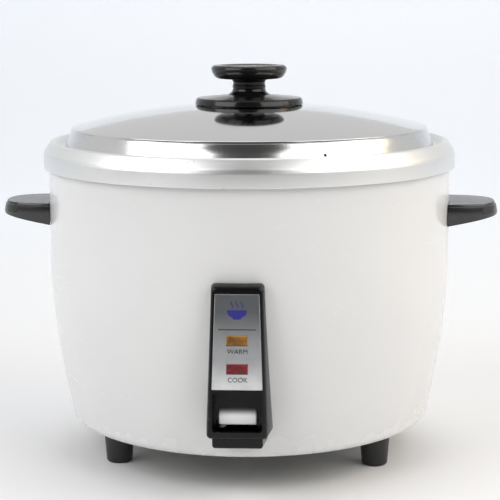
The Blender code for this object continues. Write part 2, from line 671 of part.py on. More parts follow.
def make_lid():
    """The lid with its steam hole, the knob guard, the knob, and the screw and washer under it."""
    hole = KNOB_SCREW_RADIUS + GAP
    crease, edge = LID_CREASE_RADIUS, LID_RADIUS
    profile = [(radius, dome_z(radius)) for radius in (hole, crease * 0.35, crease * 0.65, crease * 0.87)]
    profile += [(crease - 0.0015, dome_z(crease - 0.0015)), (crease, LID_CREASE_Z - 0.0004),
                (crease + 0.0012, LID_CREASE_Z - 0.0025), (edge, LEDGE_Z + GAP)]
    shell = turned("lid_shell", profile, STAINLESS, BIG_STEPS, wall=LID_WALL)
    middle = polar(edge - 0.0012, FRONT_ANGLE + LID_STEAM_ANGLE, LEDGE_Z + 0.0042)
    outward = polar(1, FRONT_ANGLE + LID_STEAM_ANGLE, 0) * 0.01
    cut(shell, cylinder("steam_hole", LID_STEAM_HOLE, middle - outward, middle + outward, None, TINY_STEPS,
                        cutter=True))
    seat = dome_z(GUARD_RADIUS) + GAP
    rim_top = seat + GUARD_RIM_HEIGHT
    hub = LID_TOP_Z + GAP
    under = GUARD_NECK_RADIUS - 0.0018
    guard = [(hole, GUARD_TOP_Z), (GUARD_NECK_RADIUS - 0.0002, GUARD_TOP_Z),
             (GUARD_NECK_RADIUS, rim_top + 0.0031), (GUARD_RADIUS - 0.0012, rim_top), (GUARD_RADIUS, seat),
             (GUARD_RADIUS - GUARD_WALL, seat), (GUARD_RADIUS - 0.0012 - GUARD_WALL, rim_top - GUARD_WALL),
             (under + 0.0005, rim_top + 0.0031 - GUARD_WALL), (under, hub), (hole, hub)]
    turned("knob_guard", guard, BLACK_PLASTIC, MID_STEPS, closed=True)
    bore_top = KNOB_Z + KNOB_BORE_DEPTH
    disc_z = KNOB_Z + KNOB_STEM_HEIGHT
    knob = [(0, KNOB_TOP_Z - 0.0007), (KNOB_RADIUS * 0.74, KNOB_TOP_Z - 0.0007),
            (KNOB_RADIUS * 0.80, KNOB_TOP_Z), (KNOB_RADIUS - 0.0012, KNOB_TOP_Z - 0.0003),
            (KNOB_RADIUS, KNOB_TOP_Z - 0.0020), (KNOB_RADIUS - 0.0007, KNOB_TOP_Z - 0.0045),
            (KNOB_RADIUS - 0.0030, disc_z + 0.0003), (GUARD_NECK_RADIUS + 0.0020, disc_z),
            (GUARD_NECK_RADIUS, disc_z - 0.0015), (GUARD_NECK_RADIUS - 0.0002, KNOB_Z),
            (hole, KNOB_Z), (hole, bore_top), (0, bore_top)]
    turned("lid_knob", knob, BLACK_PLASTIC, MID_STEPS)
    seat_z = LID_TOP_Z - LID_WALL - 2 * GAP
    reach = bore_top - GAP - 0.0005 - seat_z
    screw("knob_screw", (0, 0, seat_z), Z, KNOB_SCREW_RADIUS, reach, 0.0065, 0.0022)


# ---------------------------------------------------------------- side handles
def wing(name, half_width, inner, outer, top, root_bottom, tip_bottom, cutter):
    """A wing with a super-elliptic outline whose underside rises towards the tip."""
    mesh = bpy.data.meshes.new(name)
    shape = bmesh.new()
    bmesh.ops.create_cone(shape, cap_ends=True, segments=MID_STEPS, radius1=1, radius2=1, depth=1)
    for vertex in shape.verts:
        turn = math.atan2(vertex.co.y, vertex.co.x)
        cosine, sine = math.cos(turn), math.sin(turn)
        across = math.copysign(abs(sine) ** (2 / HANDLE_POWER), sine) * half_width
        along = inner
        if cosine > 0:
            along += cosine ** (2 / HANDLE_POWER) * (outer - inner)
        else:
            along += cosine * (half_width * 0.5)
        lower = root_bottom + (tip_bottom - root_bottom) * (along - inner) / (outer - inner)
        height = top if vertex.co.z > 0 else lower
        vertex.co = (along, across, height)
    shape.to_mesh(mesh)
    shape.free()
    return place(name, mesh, BLACK_PLASTIC, cutter=cutter)


def make_handle(label, side, drum_space):
    """One side handle, hollow underneath for the fingers, with the two screws that hold it."""
    tip = DRUM_RADIUS + HANDLE_REACH
    root = DRUM_RADIUS
    top = HANDLE_TOP_Z
    body = wing(f"{label}_handle", HANDLE_HALF_WIDTH, root, tip, top, top - HANDLE_ROOT_HEIGHT,
                top - HANDLE_TIP_HEIGHT, False)
    chamfer = round_edges(body, HANDLE_CHAMFER, 1, math.radians(60))
    chamfer.offset_type = "WIDTH"
    hollow = wing(f"{label}_handle_hollow", HANDLE_HALF_WIDTH - HANDLE_WALL, root + HANDLE_ROOT_WALL,
                  tip - HANDLE_WALL, top - HANDLE_WALL, top - 2 * HANDLE_ROOT_HEIGHT,
                  top - 2 * HANDLE_ROOT_HEIGHT, True)
    behind = box(f"{label}_handle_hollow_end", (HANDLE_HALF_WIDTH, 3 * HANDLE_HALF_WIDTH, 0.05),
                 (root + HANDLE_ROOT_WALL - HANDLE_HALF_WIDTH / 2, 0, top - 0.01), None, cutter=True)
    cut(hollow, behind)
    cut(body, hollow, drum_space)
    height = top - HANDLE_SCREW_DROP
    turn = Matrix.Rotation(0 if side > 0 else math.pi, 4, "Z")
    for number, spread in enumerate((-HANDLE_SCREW_SPREAD, HANDLE_SCREW_SPREAD), 1):
        inside = math.sqrt((DRUM_RADIUS - DRUM_WALL - 0.0006) ** 2 - (HANDLE_SCREW_SPREAD + 0.0036) ** 2)
        seat = Vector((inside - GAP, spread, height))
        reach = root + HANDLE_SCREW_LENGTH - seat.x
        bore = cylinder(f"{label}_handle_bore", KNOB_SCREW_RADIUS + GAP, (root - 0.01, spread, height),
                        (root + HANDLE_SCREW_LENGTH + 0.0005, spread, height), None, TINY_STEPS, cutter=True)
        cut(body, bore)
        screw(f"{label}_handle_screw_{number}", turn @ seat, X * side, KNOB_SCREW_RADIUS, reach,
              0.0034, 0.0020)
    return body


def turn_about_z(obj):
    """Turns an object and its cutters half round the vertical axis."""
    half_turn = Matrix.Rotation(math.pi, 4, "Z")
    moved = [obj] + [modifier.object for modifier in obj.modifiers if modifier.type == "BOOLEAN"]
    for item in moved:
        if item.name.startswith("left"):
            item.matrix_basis = half_turn @ item.matrix_basis
            for modifier in item.modifiers:
                if modifier.type == "BOOLEAN" and item is not obj:
                    modifier.object.matrix_basis = half_turn @ modifier.object.matrix_basis


# ---------------------------------------------------------------- front housing
def face_y(height):
    """Y of the housing's leaning face at a height."""
    return FACE_TOP_Y - HOUSING_LEAN * (HOUSING_TOP_Z - height) / (HOUSING_TOP_Z - HOUSING_BOTTOM_Z)


def face_half(height):
    """Half width of the housing's face at a height."""
    share = (HOUSING_TOP_Z - height) / (HOUSING_TOP_Z - HOUSING_BOTTOM_Z)
    return HOUSING_TOP_HALF + (HOUSING_BOTTOM_HALF - HOUSING_TOP_HALF) * share


def drafted_block(name, low, high, front, half, back, draft, material=None, cutter=True):
    """A block between two heights: front(z) and half(z) give its face, and it widens towards the back."""
    mesh = bpy.data.meshes.new(name)
    shape = bmesh.new()
    bmesh.ops.create_cube(shape, size=2.0)
    for vertex in shape.verts:
        height = high if vertex.co.z > 0 else low
        depth = front(height) if vertex.co.y < 0 else back
        width = half(height) + (depth - front(height)) * math.tan(draft)
        vertex.co = (math.copysign(width, vertex.co.x), depth, height)
    shape.to_mesh(mesh)
    shape.free()
    return place(name, mesh, material, cutter=cutter)


def face_point(height, depth):
    """A point on the housing's middle line, a depth behind its face."""
    return Vector((0, face_y(height) + depth * math.cos(FACE_TILT), height - depth * math.sin(FACE_TILT)))


def make_housing(drum_space):
    """The switch housing: a leaning face with a raised edge, a lever window and a set-back chin."""
    back = -DRUM_RADIUS * 0.75
    wall, set_in = HOUSING_WALL, FACE_PLATE_SET_IN + FACE_PLATE_THICKNESS + GAP
    housing = drafted_block("switch_housing", HOUSING_BOTTOM_Z, HOUSING_TOP_Z, face_y, face_half, back,
                            HOUSING_DRAFT, BLACK_PLASTIC, cutter=False)
    round_edges(housing, HOUSING_ROUND)
    chin = drafted_block("chin", BODY_LIFT + CHIN_BOTTOM, HOUSING_BOTTOM_Z + 0.006,
                         lambda height: FACE_TOP_Y - HOUSING_LEAN + CHIN_SETBACK, lambda height: CHIN_HALF,
                         back, HOUSING_DRAFT)
    round_edges(chin, HOUSING_ROUND)
    join(housing, chin)
    plate_top = HOUSING_TOP_Z - PLATE_TOP_MARGIN
    plate_bottom = plate_top - FACE_PLATE_LENGTH
    seat = drafted_block("plate_seat", plate_bottom - GAP, plate_top + GAP,
                         lambda height: face_y(height) - 0.01, lambda height: plate_half(height) + GAP,
                         0, 0)
    slice_plane = drafted_block("plate_seat_depth", BODY_LIFT, HOUSING_TOP_Z + 0.02,
                                lambda height: face_y(height) + set_in, lambda height: 0.05, 0, 0)
    cut(seat, slice_plane)
    inner_top = HOUSING_TOP_Z - wall
    cavity = drafted_block("housing_cavity", HOUSING_BOTTOM_Z + wall, inner_top,
                           lambda height: face_y(height) + set_in + wall,
                           lambda height: face_half(height) - wall, back - 0.01, HOUSING_DRAFT)
    window = drafted_block("lever_window", BODY_LIFT + LEVER_WINDOW_BOTTOM, BODY_LIFT + LEVER_WINDOW_TOP,
                           lambda height: face_y(height) - 0.01, lambda height: LEVER_WINDOW_HALF,
                           FACE_TOP_Y + 0.004, 0)
    well = box("lever_well", (2 * LEVER_WINDOW_HALF - 0.004, 0.030, 0.012),
               (0, FACE_TOP_Y + 0.0108, HOUSING_BOTTOM_Z + 0.0025), None, cutter=True)
    cut(housing, seat, cavity, window, well)
    for colour, rise in LENS_HEIGHTS.items():
        cut(housing, box(f"{colour}_window", (LENS_WIDTH + 2 * GAP, 0.03, LENS_HEIGHT + 2 * GAP),
                         face_point(BODY_LIFT + rise, 0), None, cutter=True, tilt=-FACE_TILT))
    cut(housing, drum_space)
    return housing


def plate_half(height):
    """Half width of the face plate at a height."""
    top = HOUSING_TOP_Z - PLATE_TOP_MARGIN
    share = (top - height) / FACE_PLATE_LENGTH
    return FACE_PLATE_TOP_HALF + (FACE_PLATE_BOTTOM_HALF - FACE_PLATE_TOP_HALF) * share


def make_face():
    """The face plate, the two lenses in its windows, and the lamps behind them."""
    top = HOUSING_TOP_Z - PLATE_TOP_MARGIN
    bottom = top - FACE_PLATE_LENGTH
    middle = (top + bottom) / 2
    slope = math.cos(FACE_TILT)
    ends = ((bottom, -1), (bottom, 1), (top, 1), (top, -1))
    outline = [(side * plate_half(height), (height - middle) / slope) for height, side in ends]
    windows = []
    for rise in LENS_HEIGHTS.values():
        across, along = LENS_WIDTH / 2 + GAP, LENS_HEIGHT / 2 + GAP
        centre = (BODY_LIFT + rise - middle) / slope
        windows.append([(-across, centre - along), (across, centre - along), (across, centre + along),
                        (-across, centre + along)])
    depth = FACE_PLATE_SET_IN + FACE_PLATE_THICKNESS / 2
    sheet("face_plate", [outline, *windows], FACE_PLATE_THICKNESS, FACE_METAL, face_point(middle, depth),
          (math.pi / 2 - FACE_TILT, 0, 0))
    for colour, material in (("amber", AMBER), ("red", RED)):
        height = BODY_LIFT + LENS_HEIGHTS[colour]
        box(f"{colour}_lens", (LENS_WIDTH, LENS_DEPTH, LENS_HEIGHT),
            face_point(height, FACE_PLATE_SET_IN - LENS_PROUD + LENS_DEPTH / 2), material, 0.0004,
            tilt=-FACE_TILT)
    upper_lens = BODY_LIFT + max(LENS_HEIGHTS.values())
    upper_back = face_point(upper_lens, FACE_PLATE_SET_IN - LENS_PROUD + LENS_DEPTH)
    lamp_y = upper_back.y + LAMP_AIR + LAMP_RADIUS
    board_y = lamp_y + LAMP_RADIUS + GAP + LAMP_BOARD_THICKNESS / 2
    box("lamp_board", (LAMP_BOARD_WIDTH, LAMP_BOARD_THICKNESS, LAMP_BOARD_LENGTH),
        (0, board_y, LAMP_MIDDLE_Z), FIBRE)
    for colour, rise in LENS_HEIGHTS.items():
        centre = Vector((0, lamp_y, BODY_LIFT + rise))
        cylinder(f"{colour}_lamp", LAMP_RADIUS, centre - X * LAMP_LENGTH / 2, centre + X * LAMP_LENGTH / 2,
                 GLASS, TINY_STEPS)


# ---------------------------------------------------------------- cook lever
def side_sheet(name, outlines, thickness, material, x=0.0, cutter=False):
    """A flat piece whose outlines are (y, z) points, centred on x."""
    return sheet(name, outlines, thickness, material, (x, 0, 0), (math.pi / 2, 0, math.pi / 2), cutter)


def make_lever():
    """The paddle, the arm with its hub and eye, the pivot pin with its clip, and the bracket."""
    bottom = BODY_LIFT + PADDLE_LIFT
    top = bottom + PADDLE_HEIGHT
    front, rear = PADDLE_FACE_Y, PADDLE_FACE_Y + PADDLE_DEPTH
    paddle_side = [(rear, bottom), (front + 0.0008, bottom), (front, bottom + 0.0012)]
    for degrees in (0, 25, 50, 75, 90):
        turn = math.radians(degrees)
        paddle_side.append((rear - (rear - front) * math.cos(turn) ** 0.7,
                            bottom + PADDLE_HEIGHT * (0.45 + 0.55 * math.sin(turn))))
    paddle = side_sheet("cook_lever_paddle", [paddle_side], 2 * PADDLE_HALF_WIDTH, PALE_PLASTIC)
    arm_route = [(rear + GAP, bottom + 0.004), (rear + 0.012, bottom + 0.0025), (PIVOT_Y, PIVOT_Z),
                 (PIVOT_Y + 0.010, ARM_Z), (LEVER_EYE + 0.0035, ARM_Z)]
    arm = side_sheet("lever_arm", [strip_outline(arm_route, LEVER_STRIP)], LEVER_WIDTH, ZINC_STEEL)
    half = EAR_GAP - GAP
    hub = cylinder("lever_hub", LEVER_HUB_RADIUS, (-half, PIVOT_Y, PIVOT_Z), (half, PIVOT_Y, PIVOT_Z), None,
                   SMALL_STEPS, cutter=True)
    eye = cylinder("lever_eye_rim", LEVER_EYE + 0.0032, (0, 0, ARM_Z - LEVER_STRIP / 2),
                   (0, 0, ARM_Z + LEVER_STRIP / 2), None, SMALL_STEPS, cutter=True)
    join(arm, hub, eye)
    bore = cylinder("lever_bore", PIN_RADIUS + GAP, (-0.02, PIVOT_Y, PIVOT_Z), (0.02, PIVOT_Y, PIVOT_Z), None,
                    SMALL_STEPS, cutter=True)
    eye_hole = cylinder("lever_eye_hole", LEVER_EYE, (0, 0, ARM_Z - 0.01), (0, 0, ARM_Z + 0.01), None,
                        SMALL_STEPS, cutter=True)
    cut(arm, bore, eye_hole)
    carry(hinge_empty("cook_lever_axis", (0, PIVOT_Y, PIVOT_Z)), paddle, arm)
    outer = EAR_GAP + EAR_WALL
    base = BASE_TOP_Z + GAP
    ear_top = PIVOT_Z + EAR_TOP
    middle = EAR_GAP + EAR_WALL / 2
    ears = strip_outline([(-middle, ear_top), (-middle, base + EAR_WALL / 2), (middle, base + EAR_WALL / 2),
                          (middle, ear_top)], EAR_WALL)
    length = BRACKET_FRONT + BRACKET_BACK
    bracket = sheet("lever_bracket", [ears], length, ZINC_STEEL,
                    (0, PIVOT_Y + (BRACKET_BACK - BRACKET_FRONT) / 2, 0), (math.pi / 2, 0, 0))
    pin_hole = cylinder("ear_holes", PIN_RADIUS + GAP, (-0.02, PIVOT_Y, PIVOT_Z), (0.02, PIVOT_Y, PIVOT_Z),
                        None, SMALL_STEPS, cutter=True)
    cut(bracket, pin_hole)
    for number, offset in enumerate((-0.008, BRACKET_BACK - 0.005), 1):
        place_y = PIVOT_Y + offset
        cut(bracket, cylinder("bracket_hole", 0.0018, (0, place_y, base - 0.005), (0, place_y, base + 0.005),
                              None, 8, cutter=True))
        screw(f"bracket_screw_{number}", (0, place_y, BASE_Z - GAP), Z, 0.0015, 0.0055, 0.0030, 0.0017)
    screw("pivot_pin", (-outer - GAP, PIVOT_Y, PIVOT_Z), X, PIN_RADIUS, 2 * outer + 0.0025,
          PIN_RADIUS + 0.0016, 0.0010)
    clip = [(PIN_RADIUS + GAP, 0.0004), (PIN_RADIUS + 0.0020, 0.0004), (PIN_RADIUS + 0.0020, -0.0004),
            (PIN_RADIUS + GAP, -0.0004)]
    turned("pin_clip", clip, ZINC_STEEL, TINY_STEPS, (outer + 0.0009, PIVOT_Y, PIVOT_Z), X, closed=True)


def make_microswitch():
    """The microswitch between the bracket's ears, above the arm that works its plunger."""
    bottom = ARM_Z + LEVER_STRIP / 2 + SWITCH_RISE
    side = EAR_GAP - GAP - SWITCH_SIZE.x / 2
    centre = Vector((side, PIVOT_Y + PLUNGER_ARM + 0.004, bottom + SWITCH_SIZE.z / 2))
    body = box("microswitch", SWITCH_SIZE, centre, BLACK_PLASTIC, 0.0006)
    foot = Vector((side - 0.001, PIVOT_Y + PLUNGER_ARM, ARM_Z + LEVER_STRIP / 2 + GAP))
    travel = PLUNGER_ARM * LEVER_SWING
    head = foot + Z * (SWITCH_RISE + 0.0018)
    hole = cylinder("plunger_hole", PLUNGER_RADIUS + GAP, foot, head + Z * (travel + GAP), None, TINY_STEPS,
                    cutter=True)
    cut(body, hole)
    cylinder("switch_plunger", PLUNGER_RADIUS, foot, head, AMBER, TINY_STEPS)
    return body


# ---------------------------------------------------------------- thermostat
def spring(name, radius, low, high, material=ZINC_STEEL):
    """A coil spring standing between two heights."""
    low, high = low + SPRING_WIRE + GAP, high - SPRING_WIRE - GAP
    count = int(SPRING_TURNS * SPRING_POINTS)
    points = []
    for step in range(count + 1):
        turn = 2 * math.pi * step / SPRING_POINTS
        points.append((radius * math.cos(turn), radius * math.sin(turn), low + (high - low) * step / count))
    return tube(name, points, SPRING_WIRE, material)


def make_thermostat():
    """The sprung sensor cap with its ferrite disc, the holder, and the magnet on its stem."""
    top = PLATE_TOP_Z
    inner = CAP_RADIUS - CAP_WALL
    cap = [(0, top), (CAP_RADIUS - 0.001, top), (CAP_RADIUS, top - 0.001), (CAP_RADIUS, top - CAP_HEIGHT),
           (inner, top - CAP_HEIGHT), (inner, top - CAP_WALL), (0, top - CAP_WALL)]
    cap_piece = turned("sensor_cap", cap, CAST_ALUMINIUM, MID_STEPS)
    ferrite = cylinder("ferrite_disc", FERRITE_RADIUS, (0, 0, FERRITE_Z), (0, 0, FERRITE_Z + FERRITE_HEIGHT),
                       FERRITE, SMALL_STEPS)
    carry(hinge_empty("sensor_cap_axis", (0, 0, top)), cap_piece, ferrite)
    cup = CAP_RADIUS + CAP_SIDE_AIR + 0.0003
    bore = STEM_RADIUS + 0.0012
    holder = [(cup + HOLDER_FLANGE, HOLDER_TOP_Z), (cup + HOLDER_FLANGE, HOLDER_TOP_Z - HOLDER_WALL),
              (cup, HOLDER_TOP_Z - HOLDER_WALL), (cup, HOLDER_FLOOR_Z), (bore, HOLDER_FLOOR_Z),
              (bore, HOLDER_FLOOR_Z + HOLDER_WALL), (cup - HOLDER_WALL, HOLDER_FLOOR_Z + HOLDER_WALL),
              (cup - HOLDER_WALL, HOLDER_TOP_Z)]
    holder_piece = turned("sensor_holder", holder, ZINC_STEEL, MID_STEPS, closed=True)
    for number, side in enumerate((-1, 1), 1):
        centre = Vector((side * (CAP_RADIUS + CAP_SIDE_AIR + HOLDER_FLANGE / 2 + 0.0012), 0, HOLDER_TOP_Z))
        cut(holder_piece, cylinder("holder_hole", 0.0014, centre - Z * 0.004, centre + Z * 0.002, None, 8,
                                   cutter=True))
        screw(f"holder_screw_{number}", centre - Z * (HOLDER_WALL + GAP), Z, 0.0011, 0.0048, 0.0022, 0.0013)
    spring("cap_spring", CAP_SPRING_RADIUS, HOLDER_FLOOR_Z + HOLDER_WALL, top - CAP_WALL)
    magnet = cylinder("magnet", MAGNET_RADIUS, (0, 0, MAGNET_Z), (0, 0, MAGNET_Z + MAGNET_HEIGHT), FERRITE,
                      SMALL_STEPS)
    flange_top = MAGNET_Z - GAP
    stem = [(0, flange_top), (MAGNET_RADIUS, flange_top), (MAGNET_RADIUS, flange_top - STEM_FLANGE),
            (STEM_RADIUS, flange_top - STEM_FLANGE), (STEM_RADIUS, COLLAR_Z + STEM_COLLAR),
            (STEM_COLLAR_RADIUS, COLLAR_Z + STEM_COLLAR), (STEM_COLLAR_RADIUS, COLLAR_Z),
            (STEM_RADIUS, COLLAR_Z), (STEM_RADIUS, NUT_TOP_Z), (STEM_COLLAR_RADIUS, NUT_TOP_Z),
            (STEM_COLLAR_RADIUS, NUT_TOP_Z - NUT_HEIGHT), (0, NUT_TOP_Z - NUT_HEIGHT)]
    stem_piece = turned("magnet_stem", stem, BRASS, SMALL_STEPS)
    spring("magnet_spring", MAGNET_SPRING_RADIUS, COLLAR_Z + STEM_COLLAR, HOLDER_FLOOR_Z)
    carry(hinge_empty("magnet_axis", (0, 0, MAGNET_Z)), magnet, stem_piece)


# ---------------------------------------------------------------- heaters, protection, wiring
def make_electrics():
    """The keep-warm band, its thermostat, the thermal fuse, the terminal block and the wires."""
    band_top = (BODY_LIFT + DRUM_DRAW_HEIGHT + HANDLE_SCREW_Z + BAND_HEIGHT) / 2 - BAND_DROP
    inner = LINER_RADIUS + GAP
    outer, band_foot = inner + BAND_THICKNESS, band_top - BAND_HEIGHT
    band = [(inner, band_top), (outer, band_top), (outer, band_foot), (inner, band_foot)]
    turned("warm_heater_band", band, FIBRE, BIG_STEPS, closed=True)
    under = LINER_FLOOR_Z - GAP
    can = Vector((0.070, 0.010, under))
    can_profile = [(0, 0), (0.0080, 0), (0.0080, -0.0030), (0.0070, -0.0030), (0.0070, -0.0090), (0, -0.0090)]
    turned("warm_thermostat", can_profile, BLACK_PLASTIC, SMALL_STEPS, can)
    fuse_start = Vector((-0.062, 0.008, under - 0.0026))
    cylinder("thermal_fuse", 0.0024, fuse_start, fuse_start + Y * 0.022, FIBRE, TINY_STEPS)
    block = Vector((0.050, 0.078, BASE_TOP_Z + GAP + TERMINAL_SIZE.z / 2))
    block_piece = box("terminal_block", TERMINAL_SIZE, block, PALE_PLASTIC)
    for step in (-1, 0, 1):
        top = block + Vector((step * 0.0105, 0, TERMINAL_SIZE.z / 2))
        cut(block_piece, cylinder("terminal_well", 0.0028, top - Z * 0.005, top + Z * 0.002, None, TINY_STEPS,
                                  cutter=True))
    blade_end = REAR_Y - INLET_PIN_SET_IN - INLET_PIN.y - GAP
    block_top = BASE_TOP_Z + GAP + TERMINAL_SIZE.z + WIRE_RADIUS + GAP
    tube("inlet_wire", [(INLET_PIN_SPREAD, blade_end, INLET_Z),
                        (INLET_PIN_SPREAD, blade_end - 0.0045, INLET_Z - 0.001),
                        (INLET_PIN_SPREAD + 0.003, blade_end - 0.0115, INLET_Z - 0.007),
                        (0.024, blade_end - 0.028, block_top + 0.006),
                        (0.034, block.y + 0.012, block_top + 0.002),
                        (0.0395, block.y, block_top)], WIRE_RADIUS, SILICONE)
    terminal_x = PLATE_TERMINAL_REACH * 0.35
    tip_z = PLATE_Z + 0.004 - PLATE_TERMINAL_LENGTH - WIRE_RADIUS - GAP
    tube("element_wire", [(terminal_x, PLATE_TERMINAL_REACH, tip_z), (0.022, 0.044, tip_z - 0.006),
                          (0.036, 0.060, block_top + 0.004), (block.x, block.y, block_top)],
         WIRE_RADIUS, SILICONE)
    switch_top = ARM_Z + LEVER_STRIP / 2 + SWITCH_RISE + SWITCH_SIZE.z + WIRE_RADIUS + 3 * GAP
    switch_y = PIVOT_Y + PLUNGER_ARM + 0.008
    tube("switch_wire", [(0.0045, switch_y, switch_top), (0.0125, switch_y + 0.0015, switch_top + 0.001),
                         (0.022, switch_y + 0.006, switch_top - 0.003),
                         (0.042, switch_y + 0.024, block_top + 0.005), (0.060, -0.005, block_top + 0.001),
                         (0.066, 0.045, block_top + 0.001), (0.0605, block.y, block_top)],
         WIRE_RADIUS, SILICONE)


# ---------------------------------------------------------------- rear inlet
def make_inlet(drum_space):
    """The rear housing and the socket pressed into it, with its two blades."""
    face = REAR_Y
    turn = math.pi
    block = drafted_block("inlet_housing", INLET_Z - INLET_HALF_HEIGHT, INLET_Z + INLET_HALF_HEIGHT,
                          lambda height: -face, lambda height: INLET_HALF_WIDTH, -DRUM_RADIUS * 0.75,
                          HOUSING_DRAFT, BLACK_PLASTIC, cutter=False)
    round_edges(block, HOUSING_ROUND)
    block.rotation_euler = (0, 0, turn)
    size = INLET_SOCKET_SIZE
    mouth = box("inlet_mouth", (size.x + 2 * GAP, 2 * size.y, size.z + 2 * GAP), (0, face, INLET_Z), None,
                cutter=True)
    through = box("inlet_through", (size.x - 0.006, 0.10, size.z - 0.006), (0, face, INLET_Z), None,
                  cutter=True)
    cut(block, mouth, through)
    socket = box("inlet_socket", (size.x, size.y - GAP, size.z), (0, face - (size.y + GAP) / 2, INLET_Z),
                 BLACK_PLASTIC)
    cavity = box("inlet_cavity", (INLET_CAVITY.x, 2 * INLET_CAVITY.y, INLET_CAVITY.z), (0, face, INLET_Z),
                 None, 0.002, cutter=True)
    cut(socket, cavity)
    pin_y = face - INLET_PIN_SET_IN - INLET_PIN.y / 2
    for number, side in enumerate((-1, 1), 1):
        centre = Vector((side * INLET_PIN_SPREAD, pin_y, INLET_Z))
        size_with_gap = INLET_PIN + Vector((2 * GAP, 0.01, 2 * GAP))
        cut(socket, box("pin_slot", size_with_gap, centre, None, cutter=True))
        box(f"inlet_pin_{number}", INLET_PIN, centre, BRASS)
    cut(block, drum_space)


# ---------------------------------------------------------------- assembly
drum_space = make_drum_cutter()
make_drum()
make_base()
make_liner()
make_heating_plate()
make_pan()
make_lid()
make_handle("right", 1, drum_space)
turn_about_z(make_handle("left", -1, drum_space))
make_housing(drum_space)
make_face()
make_lever()
make_microswitch()
make_thermostat()
make_electrics()
make_inlet(drum_space)
carry(hinge_empty("pan_lift_axis", (0, 0, PAN_BASE_Z)), bpy.data.objects["inner_pan"])
carry(hinge_empty("lid_lift_axis", (0, 0, LEDGE_Z)), *[bpy.data.objects[name] for name in (
    "lid_shell", "knob_guard", "lid_knob", "knob_screw")])
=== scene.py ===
"""Looks of an electric rice cooker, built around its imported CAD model.

The front faces -Y, +Z is up, the floor is at z = 0 and every length is in metres. The pieces that
show are modelled here in full detail and stand in for their CAD nodes. The mechanism inside keeps
its CAD shapes and gets its finishes here.
"""

from __future__ import annotations

import logging
import math
from collections.abc import Callable, Iterator, Sequence
from contextlib import contextmanager
from dataclasses import dataclass, field
from enum import Enum
from itertools import pairwise

import bmesh
import bpy
from mathutils import Matrix, Vector


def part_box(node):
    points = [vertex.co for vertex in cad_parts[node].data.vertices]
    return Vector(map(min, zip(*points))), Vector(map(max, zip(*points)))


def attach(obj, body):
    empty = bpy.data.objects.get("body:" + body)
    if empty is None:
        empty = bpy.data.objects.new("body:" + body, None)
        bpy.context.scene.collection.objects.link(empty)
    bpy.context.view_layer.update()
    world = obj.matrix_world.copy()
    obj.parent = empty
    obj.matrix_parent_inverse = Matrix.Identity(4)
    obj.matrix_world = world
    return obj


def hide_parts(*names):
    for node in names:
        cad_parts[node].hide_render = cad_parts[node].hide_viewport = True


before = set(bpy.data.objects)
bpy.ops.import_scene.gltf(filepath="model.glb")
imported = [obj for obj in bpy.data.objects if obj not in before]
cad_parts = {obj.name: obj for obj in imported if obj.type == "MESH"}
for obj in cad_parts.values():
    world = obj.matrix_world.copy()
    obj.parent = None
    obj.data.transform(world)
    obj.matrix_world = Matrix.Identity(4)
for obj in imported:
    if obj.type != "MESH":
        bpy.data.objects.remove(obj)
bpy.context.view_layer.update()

log = logging.getLogger("rice_cooker")

Colour = tuple[float, float, float]
Point = tuple[float, float]
Piece = bpy.types.Object

GAP = 0.0003  # clearance between neighbouring pieces
WELD = 0.000002  # points closer than this are one point
ROUND_STEPS = 192  # facets round the drum and what is coaxial with it
SMALL_STEPS = 96  # facets round the knob, the guard and the sensor
ARC_STEP = math.radians(12)  # turn between two points of a rounded corner
SMOOTH_ANGLE = math.radians(32)  # edges flatter than this are shaded smooth


class Body(Enum):
    """The bodies of the mechanism that a piece can ride on."""

    COOKER = "cooker_body"
    PAN = "pan"
    LID = "lid"
    LEVER = "lever"
    SENSOR = "sensor"


class Slot(Enum):
    """The record's material slots."""

    WHITE_PAINT = "white_paint"
    RIM_ALUMINIUM = "rim_aluminium"
    STAINLESS = "stainless"
    BLACK_PLASTIC = "black_plastic"
    FACE_METAL = "face_metal"
    AMBER_LENS = "amber_lens"
    RED_LENS = "red_lens"
    PALE_PLASTIC = "pale_plastic"
    BLACK_STEEL = "black_steel"
    ZINC_STEEL = "zinc_steel"
    CAST_ALUMINIUM = "cast_aluminium"
    FERRITE = "ferrite"
    BRASS = "brass"
    LAMP_GLASS = "lamp_glass"
    FIBRE = "fibre"
    SILICONE = "silicone"


class Cut(Enum):
    """What a Boolean modifier does with its tool."""

    AWAY = "DIFFERENCE"
    ONTO = "UNION"


